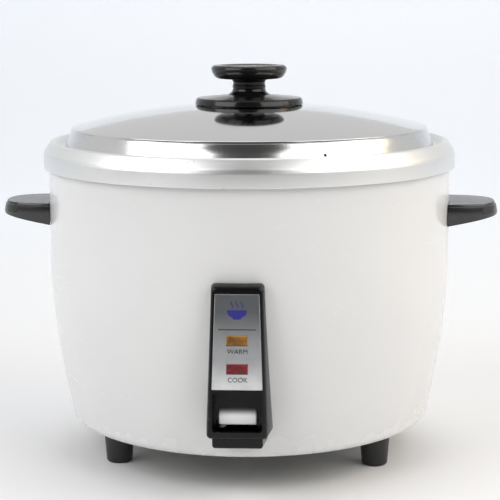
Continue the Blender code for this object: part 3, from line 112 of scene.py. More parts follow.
# ---------------------------------------------------------------- material graphs
class Wire:
    """A socket of a material's graph that Python's operators compute with."""

    def __init__(self, graph: Graph, socket: bpy.types.NodeSocket) -> None:
        """Wraps a socket.

        Args:
            graph: The graph that the socket's node is in.
            socket: An output socket.
        """
        self.graph = graph
        self.socket = socket

    def __add__(self, other: Wire | float) -> Wire:
        """The sum."""
        return self.graph.maths("ADD", self, other)

    def __radd__(self, other: float) -> Wire:
        """The sum, with a number first."""
        return self.graph.maths("ADD", other, self)

    def __sub__(self, other: Wire | float) -> Wire:
        """The difference."""
        return self.graph.maths("SUBTRACT", self, other)

    def __rsub__(self, other: float) -> Wire:
        """The difference from a number."""
        return self.graph.maths("SUBTRACT", other, self)

    def __mul__(self, other: Wire | float) -> Wire:
        """The product."""
        return self.graph.maths("MULTIPLY", self, other)

    def __rmul__(self, other: float) -> Wire:
        """The product, with a number first."""
        return self.graph.maths("MULTIPLY", other, self)

    def __truediv__(self, other: Wire | float) -> Wire:
        """The quotient."""
        return self.graph.maths("DIVIDE", self, other)

    def __rtruediv__(self, other: float) -> Wire:
        """A number over this."""
        return self.graph.maths("DIVIDE", other, self)

    def __abs__(self) -> Wire:
        """The distance from zero."""
        return self.graph.maths("ABSOLUTE", self)

    def least(self, other: Wire | float) -> Wire:
        """The smaller of the two."""
        return self.graph.maths("MINIMUM", self, other)

    def most(self, other: Wire | float) -> Wire:
        """The larger of the two."""
        return self.graph.maths("MAXIMUM", self, other)

    def fade(self, low: float, high: float) -> Wire:
        """A smooth step.

        Args:
            low: The value at which the result is 0.
            high: The value at which it is 1, which may be the lower of the two.

        Returns:
            The step, from 0 to 1.
        """
        settings = {"interpolation_type": "SMOOTHSTEP"}
        return self.graph.node("ShaderNodeMapRange", settings, {0: self, 1: low, 2: high})


Input = Wire | float | Sequence[float]


class Graph:
    """The nodes of one material, with its Principled shader."""

    def __init__(self, name: str, **even: float) -> None:
        """Makes the material.

        Args:
            name: The material's name.
            **even: Values for the shader's sockets that are the same all over, such as ior=1.5.
        """
        self.material = bpy.data.materials.new(name)
        self.material.use_nodes = True
        self.tree = self.material.node_tree
        self.shader = self.tree.nodes["Principled BSDF"]
        for socket, value in even.items():
            self.shader.inputs[socket.replace("_", " ").title().replace("Ior", "IOR")].default_value = value

    def feed(self, socket: bpy.types.NodeSocket, value: Input) -> None:
        """Links or sets one input socket.

        Args:
            socket: The socket.
            value: A wire, a number, or three numbers for a colour or a vector.
        """
        if isinstance(value, Wire):
            self.tree.links.new(value.socket, socket)
        elif isinstance(value, (int, float)):
            socket.default_value = value
        else:
            socket.default_value = (*value, 1.0) if socket.type == "RGBA" else tuple(value)

    def node(self, kind: str, settings: dict[str, object] | None = None,
             sockets: dict[int | str, Input] | None = None, out: int | str = 0) -> Wire:
        """Makes a node, sets it up and then feeds it.

        Args:
            kind: The node's type.
            settings: The node's own settings, and "stops" for a ramp's (place, colour) pairs.
            sockets: Values or wires of its input sockets, by number or name.
            out: Which output to return.

        Returns:
            The output as a wire.
        """
        made = self.tree.nodes.new(kind)
        for name, value in (settings or {}).items():
            if name == "stops":
                ramp = made.color_ramp.elements
                while len(ramp) < len(value):
                    ramp.new(1.0)
                for element, (place, colour) in zip(ramp, value):
                    element.position, element.color = place, (*colour, 1.0)
            else:
                setattr(made, name, value)
        for key, value in (sockets or {}).items():
            self.feed(made.inputs[key], value)
        return Wire(self, made.outputs[out])

    def maths(self, operation: str, *values: Wire | float) -> Wire:
        """One Math node."""
        return self.node("ShaderNodeMath", {"operation": operation}, dict(enumerate(values)))

    def position(self) -> Wire:
        """Where a point lies on the object at rest, in metres."""
        return self.node("ShaderNodeTexCoord", out="Object")

    def split(self, vector: Wire) -> tuple[Wire, Wire, Wire]:
        """The three parts of a vector."""
        parts = self.node("ShaderNodeSeparateXYZ", None, {0: vector})
        return tuple(Wire(self, socket) for socket in parts.socket.node.outputs)

    def vector(self, across: Wire | float, along: Wire | float, up: Wire | float) -> Wire:
        """A vector from three numbers."""
        return self.node("ShaderNodeCombineXYZ", None, {0: across, 1: along, 2: up})

    def stretch(self, vector: Wire, factors: Colour, shift: Colour = (0, 0, 0)) -> Wire:
        """A vector scaled and then moved, which stretches the pattern laid on it."""
        return self.node("ShaderNodeMapping", None, {0: vector, "Location": shift, "Scale": factors})

    def noise(self, vector: Wire, scale: float, detail: float = 2.0, rough: float = 0.5,
              depth: Wire | None = None) -> Wire:
        """Soft noise from 0 to 1.

        Args:
            vector: Where to read it.
            scale: Features per metre of the vector.
            detail: How many finer layers it has.
            rough: How strong the finer layers are.
            depth: A fourth coordinate.

        Returns:
            The noise.
        """
        sockets = {"Vector": vector, "Scale": scale, "Detail": detail, "Roughness": rough}
        if depth is not None:
            sockets["W"] = depth
        settings = {"noise_dimensions": "3D" if depth is None else "4D"}
        return self.node("ShaderNodeTexNoise", settings, sockets)

    def specks(self, vector: Wire, scale: float, size: float, share: float) -> Wire:
        """Scattered dots.

        Args:
            vector: Where to read them.
            scale: Cells per metre, each of which may hold one dot.
            size: A dot's radius in cells.
            share: How many of the cells hold one, from 0 to 1.

        Returns:
            1 on a dot and 0 elsewhere.
        """
        distance = self.node("ShaderNodeTexVoronoi", None, {"Vector": vector, "Scale": scale})
        dice = self.split(Wire(self, distance.socket.node.outputs["Color"]))[0]
        return distance.fade(size, size * 0.4) * dice.fade(1 - share, 1 - share + 0.01)

    def hairlines(self, vector: Wire, scale: float, width: float) -> Wire:
        """Thin winding lines where a soft noise crosses its middle, 1 on a line."""
        return abs(self.noise(vector, scale, 1.0) - 0.5).fade(width, 0.0)

    def mix(self, share: Wire | float, first: Input, second: Input) -> Wire:
        """One colour going over to another.

        Args:
            share: 0 for the first colour and 1 for the second.
            first: The first colour.
            second: The second colour.

        Returns:
            The mixed colour.
        """
        settings = {"data_type": "RGBA", "clamp_factor": True}
        return self.node("ShaderNodeMix", settings, {0: share, 6: first, 7: second}, 2)

    def turned(self, vector: Wire, along: float, across: float) -> Wire:
        """Marks that run round the vertical axis, as a lathe or a polishing wheel leaves.

        Args:
            vector: The position.
            along: How fast they change on their way round.
            across: Marks per metre across them.

        Returns:
            Noise from 0 to 1.
        """
        east, north, up = self.split(vector)
        radius = self.maths("SQRT", east * east + north * north) + 0.00001
        round_it = self.vector(east / radius * along, north / radius * along, up * across)
        return self.noise(round_it, 1.0, 3.0, 0.6, radius * across)

    def bump(self, height: Wire, depth: float, under: Wire | None = None) -> Wire:
        """A normal tilted by a height.

        Args:
            height: The height, from 0 to 1.
            depth: What a height of 1 stands for, in metres.
            under: The normal that it starts from.

        Returns:
            The normal.
        """
        sockets: dict[int | str, Input] = {"Strength": 1.0, "Distance": depth, "Height": height}
        if under is not None:
            sockets["Normal"] = under
        return self.node("ShaderNodeBump", None, sockets)

    def finish(self, colour: Input, rough: Input, normal: Wire | None = None, **others: Input) -> bpy.types.Material:
        """Feeds the shader.

        Args:
            colour: The base colour.
            rough: The roughness.
            normal: The normal.
            **others: Other sockets that may vary, such as metallic=..., coat_weight=...

        Returns:
            The finished material.
        """
        self.feed(self.shader.inputs["Base Color"], colour)
        self.feed(self.shader.inputs["Roughness"], rough)
        if normal is not None:
            self.feed(self.shader.inputs["Normal"], normal)
        for name, value in others.items():
            self.feed(self.shader.inputs[name.replace("_", " ").title()], value)
        return self.material


# ---------------------------------------------------------------- finishes
@dataclass(frozen=True)
class Finish:
    """A surface finish: its name, its colour and how rough it is."""

    name: str
    colour: Colour
    rough: float

    def paint(self) -> bpy.types.Material:
        """Makes the material.

        Returns:
            The new material.
        """
        raise NotImplementedError


@dataclass(frozen=True)
class StovePaint(Finish):
    """Stoved enamel: slight orange peel, a clear gloss, fine specks, hairline scuffs and some grime low down."""

    grime: Colour = (0.52, 0.50, 0.45)
    peel: float = 0.000012
    low_edge: float = 0.0255

    def paint(self) -> bpy.types.Material:
        """Makes the material."""
        graph = Graph(self.name, coat_roughness=0.07, ior=1.5)
        place = graph.position()
        up = graph.split(place)[2]
        cloud = graph.noise(place, 9.0, 3.0)
        specks = graph.specks(place, 120.0, 0.050, 0.06).most(graph.specks(place, 47.0, 0.022, 0.14))
        worn = graph.noise(graph.stretch(place, (1, 1, 3)), 14.0, 4.0).fade(0.52, 0.72)
        scuffs = graph.hairlines(graph.stretch(place, (1.0, 1.0, 2.5)), 38.0, 0.006) * worn
        low = up.fade(self.low_edge + 0.03, self.low_edge) * graph.noise(place, 60.0, 4.0).fade(0.20, 0.90)
        clean = graph.mix(cloud.fade(0.3, 0.7), self.colour, tuple(c * 0.975 for c in self.colour))
        dusty = graph.mix(low * 0.06, clean, self.grime)
        scuffed = graph.mix(scuffs * 0.16, dusty, self.grime)
        peel = graph.noise(place, 520.0, 2.0)
        normal = graph.bump(peel, self.peel)
        normal = graph.bump(scuffs, -0.000010, normal)
        rough = self.rough + (cloud - 0.5) * 0.06 + scuffs * 0.20 + low * 0.10
        return graph.finish(graph.mix(specks * 0.75, scuffed, (0.20, 0.17, 0.14)), rough, normal,
                            coat_weight=0.45 - low * 0.08)


@dataclass(frozen=True)
class SpunMetal(Finish):
    """Sheet metal spun or pressed round: marks that run round the axis, with wear of a chosen kind."""

    marks: float = 2600.0  # marks per metre across
    mark_depth: float = 0.0000016
    mark_rough: float = 0.10
    scratches: float = 0.10
    haze: float = 0.05
    nicks: Point = (0.0, 0.0)  # heights between which dark nicks are found
    tint: Colour = (0.42, 0.36, 0.26)
    duller: Point = (0.0, 0.0)  # the height below which it is rougher, and by how much

    def paint(self) -> bpy.types.Material:
        """Makes the material."""
        graph = Graph(self.name, metallic=1.0)
        place = graph.position()
        up = graph.split(place)[2]
        marks = graph.turned(place, 9.0, self.marks)
        broad = graph.turned(place, 3.0, self.marks * 0.12)
        haze = graph.noise(place, 24.0, 4.0).fade(0.42, 0.78)
        worn = graph.noise(place, 17.0, 3.0).fade(0.40, 0.70)
        fine = graph.hairlines(graph.stretch(place, (1.0, 2.2, 1.0)), 46.0, 0.005)
        long = graph.hairlines(graph.stretch(place, (2.6, 0.8, 1.0), (0.31, 0.17, 0.05)), 33.0, 0.004)
        scratches = fine.most(long) * worn
        spots = graph.specks(place, 260.0, 0.16, 0.05) * graph.noise(place, 30.0).fade(0.5, 0.62)
        colour = graph.mix(broad * 0.14 + haze * 0.06, self.colour, tuple(c * 0.74 for c in self.colour))
        colour = graph.mix(scratches * 0.15 + spots * 0.5, colour, self.tint)
        low, high = self.nicks
        if high > low:
            east, north, _ = graph.split(place)
            radius = graph.maths("SQRT", east * east + north * north)
            edge = up.fade(high, low) * up.fade(low - 0.0004, low) * radius.fade(0.138, 0.141)
            chips = graph.specks(graph.stretch(place, (1, 1, 1.6)), 150.0, 0.13, 0.60) * edge
            smear = graph.noise(graph.stretch(place, (1, 1, 5)), 34.0, 4.0).fade(0.60, 0.72) * edge * 0.35
            colour = graph.mix(chips.most(smear), colour, (0.05, 0.045, 0.04))
        rough = (self.rough + (marks - 0.5) * self.mark_rough + haze * self.haze
                 + scratches * self.scratches + spots * 0.2)
        height, extra = self.duller
        if extra:
            rough = rough + up.fade(height + 0.0008, height - 0.0008) * extra
        normal = graph.bump(marks, self.mark_depth)
        normal = graph.bump(scratches, -0.000006, normal)
        return graph.finish(colour, rough, normal)


@dataclass(frozen=True)
class MouldedPlastic(Finish):
    """Moulded plastic: fine texture from the tool, scuffs that show paler, settled dust, and painted shade towards the
    top where asked for.
    """

    grain: float = 900.0
    grain_depth: float = 0.000006
    dust: float = 0.10
    coat: float = 0.3
    shine: float = 0.5
    painted_shade: Point = (0.0, 0.0)  # heights between which painted shade darkens it to black towards the top

    def paint(self) -> bpy.types.Material:
        """Makes the material."""
        graph = Graph(self.name, coat_roughness=0.12, ior=1.52, specular_ior_level=self.shine)
        place = graph.position()
        up = graph.split(place)[2]
        facing_up = graph.split(graph.node("ShaderNodeNewGeometry", out="Normal"))[2]
        grain = graph.noise(place, self.grain, 3.0)
        cloud = graph.noise(place, 45.0, 4.0)
        scuffs = graph.hairlines(graph.stretch(place, (1, 1, 1.7)), 95.0, 0.010) * cloud.fade(0.50, 0.66)
        dots = graph.specks(place, 420.0, 0.13, 0.10) * graph.noise(place, 70.0).fade(0.45, 0.6)
        dust = (facing_up.fade(0.1, 1.0) * graph.noise(place, 130.0, 5.0, 0.7).fade(0.35, 0.8) * 0.35
                + dots * 0.6) * self.dust
        pale = tuple(c * 0.6 + 0.22 for c in self.colour)
        colour = graph.mix(cloud * 0.5, self.colour, tuple(c * 1.3 for c in self.colour))
        colour = graph.mix(scuffs * 0.10 + dust, colour, pale)
        low, high = self.painted_shade
        if high > low:
            # painted shade: goes over to black towards the top, between the two heights
            colour = graph.mix(up.fade(low, high) * 0.9, colour, (0.02, 0.02, 0.02))
        rough = self.rough + (cloud - 0.5) * 0.10 + scuffs * 0.18 + dust * 1.2
        normal = graph.bump(scuffs, -0.000008, graph.bump(grain, self.grain_depth))
        return graph.finish(colour, rough, normal, coat_weight=self.coat - dust)


@dataclass(frozen=True)
class LabelMetal(Finish):
    """A satin metal label with straight brushing across, a little tarnish and finger marks, a painted reflection that
    darkens it towards its top, and a painted highlight along its edge.
    """

    top: float = 0.1385
    bottom: float = 0.0783
    reflection_top_colour: Colour = (0.20, 0.21, 0.22)
    mid: float = 0.100
    reflection_mid_colour: Colour = (0.52, 0.53, 0.55)
    halves: Point = (0.0161, 0.0140)  # half the plate's width at its bottom and top

    def paint(self) -> bpy.types.Material:
        """Makes the material."""
        graph = Graph(self.name, metallic=1.0)
        place = graph.position()
        up = graph.split(place)[2]
        brush = graph.noise(graph.stretch(place, (60, 60, 5200)), 1.0, 3.0, 0.6)
        smudge = graph.noise(place, 120.0, 4.0).fade(0.45, 0.70)
        scratch = graph.hairlines(graph.stretch(place, (1, 1, 0.5)), 170.0, 0.012) * smudge
        # painted reflection: the colour goes from pale at the bottom, through the middle, to dark at the top
        colour = graph.mix(up.fade(self.bottom, self.mid), self.colour, self.reflection_mid_colour)
        colour = graph.mix(up.fade(self.mid, self.top - 0.008), colour, self.reflection_top_colour)
        colour = graph.mix(smudge * 0.12 + scratch * 0.25, colour, (0.30, 0.29, 0.27))
        # painted highlight: a pale, less metallic band along the plate's rim, where its rounded edge catches light
        below, above = self.halves
        lean = (below - above) / (self.top - self.bottom)
        to_side = below - (up - self.bottom) * lean - abs(graph.split(place)[0])
        to_end = (up - self.bottom).least(self.top - up)
        edge = to_side.least(to_end).fade(0.00055, 0.00025)
        colour = graph.mix(edge, colour, (0.80, 0.80, 0.82))
        rough = self.rough + (brush - 0.5) * 0.16 + smudge * 0.08
        return graph.finish(colour, rough, graph.bump(brush, 0.0000025), metallic=1.0 - edge * 0.8)


@dataclass(frozen=True)
class LampLens(Finish):
    """A clear coloured window over a lamp: paler at its rounded border with a painted highlight, darker and cloudy in
    the middle, and darker towards its left with painted shade.
    """

    # edge: the pale colour of the painted highlight at the border; deep: the dark colour of the cloud and of the
    # painted shade
    edge: Colour = (0.9, 0.8, 0.5)
    deep: Colour = (0.1, 0.05, 0.01)
    low: Vector = field(default_factory=Vector, hash=False)
    high: Vector = field(default_factory=Vector, hash=False)

    def paint(self) -> bpy.types.Material:
        """Makes the material."""
        graph = Graph(self.name, coat_weight=0.2, coat_roughness=0.05, ior=1.40)
        place = graph.position()
        east, _, up = graph.split(place)
        middle, half = (self.low + self.high) / 2, (self.high - self.low) / 2
        to_side = half.x - abs(east - middle.x)
        to_top = half.z - abs(up - middle.z)
        border_highlight = to_side.least(to_top).fade(0.0006, 0.0001)
        prisms = graph.maths("SINE", east * (2 * math.pi / 0.0011))
        cloud = graph.noise(graph.stretch(place, (1, 1, 1.8)), 420.0, 4.0, 0.6)
        # glow: random cloud plus painted shade that darkens the lens towards its left side
        glow = graph.noise(place, 190.0, 2.0).fade(0.30, 0.70) * 0.6 + (east - middle.x).fade(-half.x, half.x) * 0.4
        colour = graph.mix(glow, self.deep, self.colour)
        colour = graph.mix((cloud.fade(0.50, 0.80) + prisms * 0.10) * 0.14, colour, self.edge)
        # painted highlight at the rounded border
        colour = graph.mix(border_highlight * 0.55, colour, self.edge)
        return graph.finish(colour, self.rough + cloud * 0.08, graph.bump(prisms * 0.5 + 0.5, 0.00001))


@dataclass(frozen=True)
class Ink(Finish):
    """Screen-printed ink: thin, slightly uneven and worn at its edges."""

    worn: Colour = (0.35, 0.35, 0.36)

    def paint(self) -> bpy.types.Material:
        """Makes the material."""
        graph = Graph(self.name)
        place = graph.position()
        thin = graph.noise(place, 2600.0, 3.0).fade(0.55, 0.85) * 0.5 + graph.noise(place, 400.0).fade(0.6, 0.9) * 0.3
        return graph.finish(graph.mix(thin, self.colour, self.worn), self.rough + thin * 0.2,
                            graph.bump(thin, -0.000004))


@dataclass(frozen=True)
class PlatedSteel(Finish):
    """Rolled or pressed steel with a plated skin: faint crystals, dull stains and dark wear."""

    crystals: float = 150.0
    tint: Colour = (0.33, 0.30, 0.22)
    stain: float = 0.25
    metallic: float = 1.0

    def paint(self) -> bpy.types.Material:
        """Makes the material."""
        graph = Graph(self.name, metallic=self.metallic)
        place = graph.position()
        cells = graph.node("ShaderNodeTexVoronoi", None, {"Vector": place, "Scale": self.crystals}, "Color")
        shade = graph.split(cells)[0]
        stain = graph.noise(place, 38.0, 5.0, 0.65).fade(0.45, 0.75)
        fine = graph.noise(place, 1500.0, 2.0)
        scratch = graph.hairlines(place, 80.0, 0.008) * stain
        colour = graph.mix(shade * 0.45, self.colour, tuple(c * 0.70 for c in self.colour))
        colour = graph.mix(stain * self.stain + scratch * 0.2, colour, self.tint)
        rough = self.rough + (shade - 0.5) * 0.10 + stain * 0.12 + fine * 0.04
        return graph.finish(colour, rough, graph.bump(fine, 0.000004, graph.bump(shade, 0.000003)))


@dataclass(frozen=True)
class CastMetal(Finish):
    """Cast aluminium: a sandy skin, turned where the tool faced it, with baked-on brown stains."""

    faced_above: float = 1.0
    tool_marks: float = 1900.0
    brown: Colour = (0.27, 0.19, 0.12)

    def paint(self) -> bpy.types.Material:
        """Makes the material."""
        graph = Graph(self.name, metallic=1.0)
        place = graph.position()
        up = graph.split(place)[2]
        faced = up.fade(self.faced_above - 0.0004, self.faced_above)
        sand = graph.noise(place, 1300.0, 4.0, 0.7)
        turned = graph.turned(place, 2.0, self.tool_marks)
        baked = graph.noise(place, 52.0, 5.0, 0.6).fade(0.54, 0.74) * 0.6
        drips = graph.specks(place, 65.0, 0.20, 0.20) * graph.noise(place, 210.0, 3.0).fade(0.35, 0.6)
        colour = graph.mix(sand * 0.3 + (1 - faced) * 0.25, self.colour, tuple(c * 0.62 for c in self.colour))
        colour = graph.mix(baked * 0.5 + drips * 0.45, colour, self.brown)
        rough = self.rough + (1 - faced) * 0.15 + (turned - 0.5) * 0.12 + baked * 0.2
        cast = graph.bump(sand * (1 - faced), 0.000060)
        return graph.finish(colour, rough, graph.bump(turned * faced, 0.000008, cast))


@dataclass(frozen=True)
class WovenFibre(Finish):
    """Woven glass or mica fibre: crossing threads and patches of scorch."""

    thread: float = 0.0011
    scorch: Colour = (0.42, 0.33, 0.20)

    def paint(self) -> bpy.types.Material:
        """Makes the material."""
        graph = Graph(self.name)
        place = graph.position()
        east, north, up = graph.split(place)
        turn = graph.maths("ARCTAN2", north, east) * 0.135
        warp = graph.maths("SINE", turn * (2 * math.pi / self.thread))
        weft = graph.maths("SINE", up * (2 * math.pi / self.thread))
        weave = warp * weft * 0.5 + 0.5
        burnt = graph.noise(place, 44.0, 4.0).fade(0.48, 0.78)
        colour = graph.mix(weave * 0.35, self.colour, tuple(c * 0.72 for c in self.colour))
        return graph.finish(graph.mix(burnt * 0.55, colour, self.scorch), self.rough + burnt * 0.05,
                            graph.bump(weave, 0.00012))


@dataclass(frozen=True)
class PlainSolid(Finish):
    """A solid of one stuff, such as ferrite, rubber or lamp glass: uneven, pitted and a little soiled."""

    soil: Colour = (0.10, 0.09, 0.08)
    pits: float = 700.0
    pit_depth: float = 0.00002
    metallic: float = 0.0
    coat: float = 0.0

    def paint(self) -> bpy.types.Material:
        """Makes the material."""
        graph = Graph(self.name, metallic=self.metallic, coat_weight=self.coat, coat_roughness=0.08)
        place = graph.position()
        pits = graph.noise(place, self.pits, 4.0, 0.6)
        soil = graph.noise(place, 85.0, 4.0).fade(0.45, 0.75)
        colour = graph.mix(pits * 0.4, self.colour, tuple(c * 0.75 for c in self.colour))
        return graph.finish(graph.mix(soil * 0.35, colour, self.soil), self.rough + soil * 0.12 + (pits - 0.5) * 0.08,
                            graph.bump(pits, self.pit_depth))


PAINT = StovePaint("stoved_white", (0.760, 0.762, 0.768), 0.24)
PAN_METAL = SpunMetal("spun_aluminium", (0.88, 0.89, 0.89), 0.36, marks=2100.0, mark_depth=0.0000022,
                      haze=0.06, nicks=(0.2034, 0.2062))
LID_METAL = SpunMetal("polished_stainless", (0.70, 0.70, 0.70), 0.075, marks=3800.0, mark_depth=0.0000007,
                      mark_rough=0.05, scratches=0.12, haze=0.045, duller=(0.2300, 0.10))
LINER_METAL = SpunMetal("aluminised_liner", (0.56, 0.56, 0.55), 0.36, marks=900.0, mark_depth=0.000004, haze=0.12)
GRIP_PLASTIC = MouldedPlastic("phenolic_black", (0.006, 0.006, 0.006), 0.16, grain=650.0, grain_depth=0.000003,
                              dust=0.03, coat=0.05, shine=0.4)
HANDLE_PLASTIC = MouldedPlastic("handle_black", (0.010, 0.011, 0.012), 0.28, dust=0.12, coat=0.2, shine=0.6)
BEZEL_PLASTIC = MouldedPlastic("bezel_black", (0.0040, 0.0040, 0.0045), 0.24, dust=0.02, coat=0.0,
                               shine=0.25)
FOOT_PLASTIC = MouldedPlastic("foot_black", (0.016, 0.016, 0.017), 0.46, grain=600.0, grain_depth=0.00002,
                              dust=0.08, coat=0.0)
LABEL_METAL = LabelMetal("satin_label", (0.93, 0.94, 0.95), 0.30)
# the key's top goes dark with painted shade, as under the window's upper edge
KEY_PLASTIC = MouldedPlastic("key_white", (0.92, 0.92, 0.95), 0.22, grain=700.0, dust=0.0, coat=0.4,
                             painted_shade=(0.0600, 0.0648))
BASE_METAL = PlatedSteel("base_steel", (0.30, 0.29, 0.25), 0.42, stain=0.35)
ZINC_METAL = PlatedSteel("zinc_steel", (0.62, 0.62, 0.63), 0.34)
PLATE_METAL = CastMetal("hot_plate_aluminium", (0.62, 0.62, 0.63), 0.34, faced_above=0.0815)
CAP_METAL = CastMetal("sensor_aluminium", (0.72, 0.72, 0.73), 0.26, faced_above=0.0660, tool_marks=3200.0)
LETTER_INK = Ink("legend_ink", (0.018, 0.018, 0.020), 0.45, worn=(0.10, 0.10, 0.11))
BLUE_INK = Ink("sign_ink", (0.022, 0.022, 0.23), 0.35, worn=(0.08, 0.09, 0.34))

INNER_FINISHES: dict[Slot, Finish] = {
    Slot.WHITE_PAINT: PAINT,
    Slot.RIM_ALUMINIUM: PAN_METAL,
    Slot.STAINLESS: LID_METAL,
    Slot.BLACK_PLASTIC: FOOT_PLASTIC,
    Slot.FACE_METAL: LABEL_METAL,
    Slot.PALE_PLASTIC: MouldedPlastic("block_ivory", (0.70, 0.66, 0.56), 0.38, dust=0.05, coat=0.1),
    Slot.BLACK_STEEL: BASE_METAL,
    Slot.ZINC_STEEL: ZINC_METAL,
    Slot.CAST_ALUMINIUM: CAP_METAL,
    Slot.FERRITE: PlainSolid("ferrite_grey", (0.055, 0.055, 0.060), 0.55, soil=(0.12, 0.10, 0.08)),
    Slot.BRASS: PlainSolid("drawn_brass", (0.74, 0.55, 0.26), 0.28, soil=(0.35, 0.22, 0.10), pits=1400.0,
                           pit_depth=0.000004, metallic=1.0),
    Slot.LAMP_GLASS: PlainSolid("lamp_glass", (0.78, 0.50, 0.36), 0.08, soil=(0.40, 0.25, 0.18),
                                pit_depth=0.000002, coat=1.0),
    Slot.FIBRE: WovenFibre("woven_fibre", (0.74, 0.71, 0.62), 0.80),
    Slot.SILICONE: PlainSolid("silicone_red", (0.46, 0.075, 0.055), 0.45, soil=(0.20, 0.05, 0.04),
                              pit_depth=0.000008, coat=0.1),
    Slot.AMBER_LENS: PlainSolid("plunger_amber", (0.60, 0.33, 0.05), 0.25, soil=(0.3, 0.15, 0.03), coat=0.4),
}


class Palette:
    """The materials made so far, one for each finish."""

    def __init__(self) -> None:
        """Starts with no material."""
        self.made: dict[str, bpy.types.Material] = {}

    def material(self, finish: Finish) -> bpy.types.Material:
        """The finish's material, made the first time that it is asked for."""
        if finish.name not in self.made:
            self.made[finish.name] = finish.paint()
        return self.made[finish.name]


PALETTE = Palette()


# ---------------------------------------------------------------- workbench
@dataclass(frozen=True)
class Corner:
    """A corner of an outline, with the radius that it is rounded to."""

    across: float
    up: float
    radius: float = 0.0


def rounded(corners: Sequence[Corner], closed: bool = False, step: float = ARC_STEP) -> list[Vector]:
    """The points of an outline with its corners rounded.

    Args:
        corners: The corners in order.
        closed: Whether the last corner joins the first.
        step: The largest turn between two points of an arc.

    Returns:
        The outline's points as flat vectors.
    """
    points: list[Vector] = []
    for index, corner in enumerate(corners):
        here = Vector((corner.across, corner.up))
        at_end = not closed and index in (0, len(corners) - 1)
        if corner.radius <= 0 or at_end:
            points.append(here)
            continue
        before, after = corners[index - 1], corners[(index + 1) % len(corners)]
        back = Vector((before.across, before.up)) - here
        on = Vector((after.across, after.up)) - here
        between = back.angle(on)
        reach = min(corner.radius / math.tan(between / 2), 0.48 * back.length, 0.48 * on.length)
        radius = reach * math.tan(between / 2)
        start, end = here + back.normalized() * reach, here + on.normalized() * reach
        middle = here + (back.normalized() + on.normalized()).normalized() * (radius / math.sin(between / 2))
        count = max(2, math.ceil((math.pi - between) / step))
        turn = (start - middle).angle_signed(end - middle)
        for number in range(count + 1):
            arm = (start - middle).copy()
            arm.rotate(Matrix.Rotation(-turn * number / count, 2))
            points.append(middle + arm)
    return points


def clear_selection() -> None:
    """Leaves edit mode and deselects everything."""
    if bpy.context.object and bpy.context.object.mode != "OBJECT":
        bpy.ops.object.mode_set(mode="OBJECT")
    bpy.ops.object.select_all(action="DESELECT")


def name_new(name: str) -> Piece:
    """Names the object that an operator has just added, and its data.

    Args:
        name: The piece's name.

    Returns:
        The object.
    """
    piece = bpy.context.object
    piece.name = piece.data.name = name
    return piece


@contextmanager
def editing(piece: Piece, mode: str = "VERT") -> Iterator[None]:
    """Edit mode on one piece, with nothing selected in it.

    Args:
        piece: The piece.
        mode: What is selected: VERT, EDGE or FACE.

    Yields:
        Nothing.
    """
    clear_selection()
    piece.select_set(True)
    bpy.context.view_layer.objects.active = piece
    bpy.ops.object.mode_set(mode="EDIT")
    bpy.ops.mesh.select_mode(type=mode)
    bpy.ops.mesh.select_all(action="DESELECT")
    yield
    bpy.ops.object.mode_set(mode="OBJECT")


def pick(piece: Piece, kind: str, test: Callable[[object], bool]) -> int:
    """Selects the elements that pass a test, in edit mode.

    Args:
        piece: The piece being edited.
        kind: "verts", "edges" or "faces".
        test: Says whether an element is wanted.

    Returns:
        How many were selected.
    """
    mesh = bmesh.from_edit_mesh(piece.data)
    wanted = [element for element in getattr(mesh, kind) if test(element)]
    for element in wanted:
        element.select_set(True)
    mesh.select_flush_mode()
    bmesh.update_edit_mesh(piece.data)
    return len(wanted)


def middle_of(element: object) -> Vector:
    """The middle of an edge or a face."""
    return sum((vertex.co for vertex in element.verts), Vector()) / len(element.verts)


def draw_line(points: Sequence[Vector]) -> Piece:
    """Draws a line of edges, each extruded from the last, and stays in edit mode.

    Args:
        points: The points in order.

    Returns:
        The new object.
    """
    clear_selection()
    bpy.ops.mesh.primitive_plane_add(size=1.0, location=(0, 0, 0))
    piece = bpy.context.object
    bpy.ops.object.mode_set(mode="EDIT")
    bpy.ops.mesh.select_mode(type="VERT")
    bpy.ops.mesh.select_all(action="SELECT")
    bpy.ops.mesh.merge(type="CENTER")
    bpy.ops.transform.translate(value=points[0])
    for here, there in pairwise(points):
        bpy.ops.mesh.extrude_region_move(TRANSFORM_OT_translate={"value": there - here})
    bpy.ops.mesh.select_all(action="SELECT")
    bpy.ops.mesh.remove_doubles(threshold=WELD)
    return piece


def tidy_mesh() -> None:
    """Merges doubles and turns all faces outwards, in edit mode."""
    bpy.ops.mesh.select_all(action="SELECT")
    bpy.ops.mesh.remove_doubles(threshold=WELD)
    bpy.ops.mesh.normals_make_consistent(inside=False)


def settle(piece: Piece) -> Piece:
    """Puts a piece's place in its mesh and shades it smooth across its flat edges."""
    clear_selection()
    piece.select_set(True)
    bpy.context.view_layer.objects.active = piece
    bpy.ops.object.transform_apply(location=True, rotation=True, scale=True)
    bpy.ops.object.shade_smooth_by_angle(angle=SMOOTH_ANGLE)
    return piece


def lathe(name: str, outline: Sequence[Vector], steps: int = ROUND_STEPS, closed: bool = False,
          middle: Vector = Vector()) -> Piece:
    """Spins an outline round a vertical axis.

    Args:
        name: The piece's name.
        outline: Radius and height of each point.
        steps: Facets in a whole turn.
        closed: Whether the outline is a loop clear of the axis.
        middle: Where the axis meets the floor.

    Returns:
        The piece.
    """
    loop = [*outline, outline[0]] if closed else outline
    draw_line([Vector((middle.x + point.x, middle.y, point.y)) for point in loop])
    bpy.ops.mesh.select_all(action="SELECT")
    bpy.ops.mesh.spin(steps=steps, angle=2 * math.pi, center=middle, axis=(0, 0, 1), use_auto_merge=False)
    tidy_mesh()
    bpy.ops.object.mode_set(mode="OBJECT")
    return settle(name_new(name))


